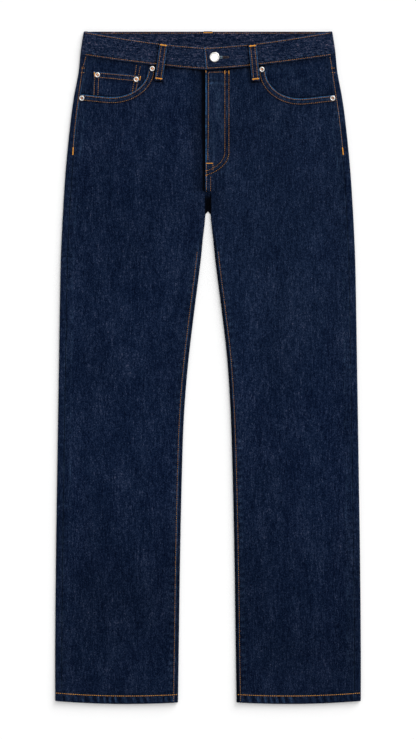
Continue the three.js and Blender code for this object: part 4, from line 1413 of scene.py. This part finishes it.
def under_threads(cloth):
    """The stitching of the seat, face down on the surface."""
    names = ("back_left", "back_right", "yoke_left", "yoke_right", "waistband")
    seat = Thread("seat_stitching", [cloth[n] for n in names], 205, below=True)
    for side in (-1, 1):
        ax = np.linspace(inner_edge(side, HEM_LEVEL) + 3, outer_edge(HEM_LEVEL) - 3, 50)
        seat.row(side * ax, hem_edge(side, ax, True) + HEM_STITCH)
        ax = np.linspace(8.6, 209.0, 50)
        for offset in YOKE_ROWS:
            seat.row(side * ax, yoke_seam(ax) + offset)
        for y in (BAND_BACK[0] + BAND_ROWS[0], BAND_BACK[1] - BAND_ROWS[1]):
            seat.line((side * 7.2, y), (side * 200.0, y))
    for x in (2.2, 2.2 + PAIR):
        seat.line((x, 262.0), (x, BAND_BACK[0] - 2.0))
    both = [cloth["back_pocket_left"], cloth["back_pocket_right"]]
    pockets = Thread("back_pocket_stitching", both, 206, below=True)
    for side in (-1, 1):
        corner_at = back_pocket_corner(side)
        for inset in (0.014, 0.058):
            far = 1 - inset
            path = [(inset, 0.985), (inset, inset), (0.5, inset * 1.1), (far, inset), (far, 0.985)]
            pockets.line(*(corner_at(u, v) for u, v in path))
        for v in (0.985, 0.915):
            pockets.line(corner_at(0.02, v), corner_at(0.98, v))
        for u in (0.03, 0.97):
            pockets.bartack(corner_at(u, 0.985), corner_at(u, 0.92), width=2.8)
    loops = Thread("back_loop_stitching", [cloth[n] for n in LOOPS_BACK], 207, below=True)
    for name in LOOPS_BACK:
        low, high = node_box(name)
        middle = (low[0] + high[0]) / 2
        for x in (middle - LOOP_ROW, middle + LOOP_ROW):
            loops.line((x, low[1] + 1.5), (x, high[1] - 1.5))
        for y in (low[1] + 4.0, high[1] - 4.0):
            loops.bartack((middle - 5.4, y), (middle + 5.4, y), width=2.6)
    return [seat, pockets, loops]


# --- materials


class Graph:
    """Short names for building a node material."""

    def __init__(self, name):
        self.material = bpy.data.materials.new(name)
        self.material.use_nodes = True
        self.tree = self.material.node_tree
        self.shader = self.tree.nodes["Principled BSDF"]
        place = self.node("ShaderNodeTexCoord").outputs["Object"]
        self.place = self.vector("MULTIPLY", place, (1 / MM, 1 / MM, 1 / MM)).outputs[0]

    def node(self, kind, **settings):
        made = self.tree.nodes.new(kind)
        for key, value in settings.items():
            setattr(made, key, value)
        return made

    def feed(self, socket, value):
        if isinstance(value, bpy.types.NodeSocket):
            self.tree.links.new(value, socket)
        else:
            socket.default_value = value

    def maths(self, operation, a, b=0.0, clamp=False):
        made = self.node("ShaderNodeMath", operation=operation, use_clamp=clamp)
        self.feed(made.inputs[0], a)
        self.feed(made.inputs[1], b)
        return made.outputs[0]

    def vector(self, operation, a, b):
        made = self.node("ShaderNodeVectorMath", operation=operation)
        self.feed(made.inputs[0], a)
        self.feed(made.inputs[1], b)
        return made

    def noise(self, cell, detail=2.0, offset=0.0):
        """Noise about zero with features of the size cell, in millimetres along x, y and z."""
        place = self.vector("MULTIPLY", self.place, tuple(1 / c for c in cell)).outputs[0]
        made = self.node("ShaderNodeTexNoise", noise_dimensions="3D")
        moved = self.vector("ADD", place, (offset, offset * 0.7, 0.25))
        self.feed(made.inputs["Vector"], moved.outputs[0])
        made.inputs["Scale"].default_value = 1.0
        made.inputs["Detail"].default_value = detail
        return self.maths("SUBTRACT", made.outputs["Fac"], 0.5)

    def attribute(self, name):
        return self.node("ShaderNodeAttribute", attribute_name=name).outputs["Fac"]

    def colour(self, value):
        made = self.node("ShaderNodeRGB")
        made.outputs[0].default_value = (*value, 1)
        return made.outputs[0]

    def channels(self, red, green, blue):
        made = self.node("ShaderNodeCombineColor")
        for channel, value in zip(("Red", "Green", "Blue"), (red, green, blue)):
            self.feed(made.inputs[channel], value)
        return made.outputs[0]

    def mix(self, part, a, b, blend="MIX"):
        made = self.node("ShaderNodeMix", data_type="RGBA", blend_type=blend)
        self.feed(made.inputs["Factor"], part)
        self.feed(made.inputs["A"], a)
        self.feed(made.inputs["B"], b)
        return made.outputs["Result"]

    def total(self, *parts, base=None):
        """The sum of (socket, weight) pairs, and of base."""
        result = None
        for socket, weight in parts:
            term = self.maths("MULTIPLY", socket, weight)
            result = term if result is None else self.maths("ADD", result, term)
        return result if base is None else self.maths("ADD", result, base)

    def twill(self, lean, pitch):
        """The diagonal lines of the weave, from -1 to 1."""
        turn = 2 * math.pi / pitch
        lines = self.vector("DOT_PRODUCT", self.place, (math.cos(lean) * turn, math.sin(lean) * turn, 0))
        waver = self.maths("MULTIPLY", self.noise((6, 9, 9), 1.0, 7.0), 2.4)
        return self.maths("SINE", self.maths("ADD", lines.outputs["Value"], waver))

    def surface(self, colour, light, roughness):
        """The shader's colour, times the number light, and its roughness."""
        lit = self.mix(1.0, colour, self.channels(light, light, light), "MULTIPLY")
        self.feed(self.shader.inputs["Base Color"], lit)
        self.feed(self.shader.inputs["Roughness"], roughness)

    def bump(self, height, distance, strength=1.0):
        made = self.node("ShaderNodeBump")
        made.inputs["Strength"].default_value = strength
        made.inputs["Distance"].default_value = distance * MM
        self.feed(made.inputs["Height"], height)
        self.feed(self.shader.inputs["Normal"], made.outputs["Normal"])


INDIGO = (0.0037, 0.0098, 0.0302)
BAND_INDIGO = (0.0056, 0.0120, 0.0335)
RUBBED_AND_LIT = (0.040, 0.072, 0.135)  # puckers and seams that catch wear, and crests painted lighter as a highlight
PALE = (0.030, 0.125, 0.290)  # the very edges of turned cloth
YARN_VARIES = (2.25, 1.55, 1.08)  # how much its red, green and blue do, from thread to thread


def denim(name, tint, upright=True, contrast=1.0):
    """Dark indigo twill with slubs along the grain, pale where an edge or pucker stands up, partly from wear
    and partly as painted highlight, and darkened by painted shade.
    """
    g = Graph(name)

    def grain(across, along, *look):  # noise as wide and as long as that, in the run of the cloth
        return g.noise((across, along, 16) if upright else (along, across, 16), *look)

    slub = grain(1.7, 14 if upright else 9, 1.0, 3.0)
    short = grain(1.5, 2.6, 2.0, 11.0)
    fine = grain(0.9, 1.2, 1.0, 23.0)
    broad = grain(22, 60, 2.0, 31.0)
    twill = g.twill(math.radians(32 if upright else 58), 0.95)
    stops = g.total(
        (slub, 2.1 * contrast), (short, 3.3 * contrast), (fine, 3.8), (broad, 1.4), (twill, 0.25),
    )
    yarn = (g.maths("POWER", 2.0, g.maths("MULTIPLY", stops, weight)) for weight in YARN_VARIES)
    cloth = g.mix(1.0, g.colour(tint), g.channels(*yarn), "MULTIPLY")
    mottle = g.total((short, 2.4), (fine, 1.8), (slub, 1.4), base=0.9)
    # paleness from wear and painted highlight on edges and crests, mottled by the weave
    wear_and_highlight = g.maths("MULTIPLY", g.attribute("wear_and_highlight"), mottle, clamp=True)
    worn_and_lit = g.mix(wear_and_highlight, cloth, g.mix(g.maths("MULTIPLY", wear_and_highlight, wear_and_highlight), g.colour(RUBBED_AND_LIT), g.colour(PALE)))
    # painted shade: the cloth is darkened where its shade attribute says
    light = g.maths("SUBTRACT", 1.0, g.maths("MULTIPLY", g.attribute("shade"), 0.93, clamp=True))
    g.surface(worn_and_lit, light, g.total((short, 0.12), base=0.9))
    g.shader.inputs["Specular IOR Level"].default_value = 0.03
    g.bump(g.total((slub, 0.5), (short, 0.9), (fine, 0.5), (twill, 0.16)), 0.5, 0.7)
    return g.material


def thread_material(name, colour):
    """Twisted cotton thread, each stitch a little lighter or darker than the next."""
    g = Graph(name)
    fuzz = g.noise((0.5, 0.5, 0.5), 2.0, 5.0)
    light = g.total((g.attribute("tone"), 0.6), (fuzz, 0.5), base=0.5)
    g.surface(g.colour(colour), light, g.total((fuzz, 0.3), base=0.7))
    g.shader.inputs["Specular IOR Level"].default_value = 0.12
    g.shader.inputs["Sheen Weight"].default_value = 0.15
    g.bump(g.total((fuzz, 1.0), (g.twill(0.6, 0.42), 0.25)), 0.1, 0.6)
    return g.material


def metal(name, colour):
    """Plated metal with a fine grain and a little soiling."""
    g = Graph(name)
    grain = g.noise((0.22, 0.22, 0.22), 2.0, 3.0)
    stain = g.noise((2.4, 2.4, 2.4), 3.0, 9.0)
    light = g.total((grain, 0.35), (stain, 0.2), base=1.0)
    g.surface(g.colour(colour), light, g.total((stain, 0.25), base=0.38))
    g.shader.inputs["Metallic"].default_value = 1.0
    g.bump(grain, 0.06, 0.5)
    return g.material


# --- the set


def floor():
    size = 60000.0  # past the edge of every view
    corners = [(-size, -size, 0), (size, -size, 0), (size, size, 0), (-size, size, 0)]
    obj = make_mesh("floor", corners, [[0, 1, 2, 3]])
    g = Graph("pale_floor")
    g.surface(g.colour((0.94, 0.94, 0.94)), g.total((g.noise((3, 3, 3), 1.0), 0.01), base=1.0), 0.8)
    g.shader.inputs["Specular IOR Level"].default_value = 0.1
    obj.data.materials.append(g.material)


def lights():
    world = bpy.data.worlds.new("studio")
    bpy.context.scene.world = world
    world.use_nodes = True
    sky = world.node_tree.nodes["Background"]
    sky.inputs["Color"].default_value = (1.0, 1.0, 1.0, 1)
    sky.inputs["Strength"].default_value = 0.46
    lamps = {
        # towards the light, strength, how wide it is in degrees
        "overhead_softbox": ((0.12, 0.22, 1.0), 1.17, 60),
        "low_softbox": ((0.53, 0.77, 0.42), 2.10, 44),
    }
    for name, (toward, strength, width) in lamps.items():
        sun = bpy.data.lights.new(name, "SUN")
        sun.energy = strength
        sun.angle = math.radians(width)
        lamp = bpy.data.objects.new(name, sun)
        bpy.context.scene.collection.objects.link(lamp)
        lamp.rotation_euler = Vector(toward).to_track_quat("Z", "Y").to_euler()


def camera():
    data = bpy.data.cameras.new("overhead")
    data.sensor_width = 36
    data.lens = 118.8  # long, because the photo shows hardly any perspective
    obj = bpy.data.objects.new("overhead", data)
    obj.location = (0, -0.00344, 4.006)  # in metres, so that the jeans fill the picture as in the photo
    bpy.context.scene.collection.objects.link(obj)
    bpy.context.scene.camera = obj


# --- putting it together

# what each piece was cut to, as it shows, in metres and square metres
CUTS = {
    # piece: width, length, area
    "front": (0.236, 1.040, 0.205),
    "back": (0.262, 1.040, 0.232),
    "yoke": (0.245, 0.072, 0.0125),
    "hem": (0.404, 0.015, 0.00606),
    "pocket_facing": (0.118, 0.074, 0.0080),
    "back_pocket": (0.144, 0.164, 0.0200),
    "coin_pocket": (0.080, 0.048, 0.0031),
    "waistband": (0.039, 0.884, 0.0335),
    "belt_loop": (0.0133, 0.063, 0.00083),
}
BAND_PIECES = ("waistband", "belt_loop")


def cut_of(node):
    return max((key for key in CUTS if node.startswith(key)), key=len)


def cloth_pieces():
    makers = {
        "front": front_panel, "back": back_panel, "yoke": yoke_panel, "hem": turned_hem,
        "pocket_facing": pocket_facing, "back_pocket": back_pocket,
    }
    made = {sided(kind, side): make(side) for side in (-1, 1) for kind, make in makers.items()}
    made["coin_pocket"] = coin_pocket()
    made["waistband"] = waistband()
    made.update((name, front_loop(name)) for name in LOOPS_FRONT)
    made.update((name, back_loop(name)) for name in LOOPS_BACK)
    return made


def dress(obj, material):
    obj.data.materials.clear()
    obj.data.materials.append(material)
    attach(obj, "root")


def build():
    leg_denim = denim("denim", INDIGO)
    band_denim = denim("waistband_denim", BAND_INDIGO, upright=False, contrast=1.65)
    cotton = thread_material("thread", (0.66, 0.285, 0.032))
    brown_cotton = thread_material("buttonhole_thread", (0.085, 0.050, 0.036))
    blue_cotton = thread_material("eyelet_thread", (0.52, 0.70, 0.80))
    nickel = metal("nickel", (0.74, 0.72, 0.69))
    copper = metal("copper", (0.55, 0.27, 0.15))

    cloth = cloth_pieces()
    for node, obj in cloth.items():
        kind = cut_of(node)
        on_band = kind in BAND_PIECES
        dress(obj, band_denim if on_band else leg_denim)
        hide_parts(node)

    for thread in [*front_threads(cloth), band_threads(cloth), *under_threads(cloth)]:
        dress(thread.finished(), cotton)
    for thread, material in zip(buttonhole_threads(cloth), (blue_cotton, brown_cotton)):
        dress(thread.finished(), material)

    stud = button()
    dress(stud, nickel)
    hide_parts("button")
    for number in range(1, 7):
        for kind, material, slot_name in (("rivet_", nickel, "nickel"), ("rivet_burr_", copper, "copper")):
            obj = rivet(kind + str(number))
            dress(obj, material)
            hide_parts(kind + str(number))


build()
floor()
lights()
camera()
bpy.context.scene.view_settings.view_transform = "Standard"
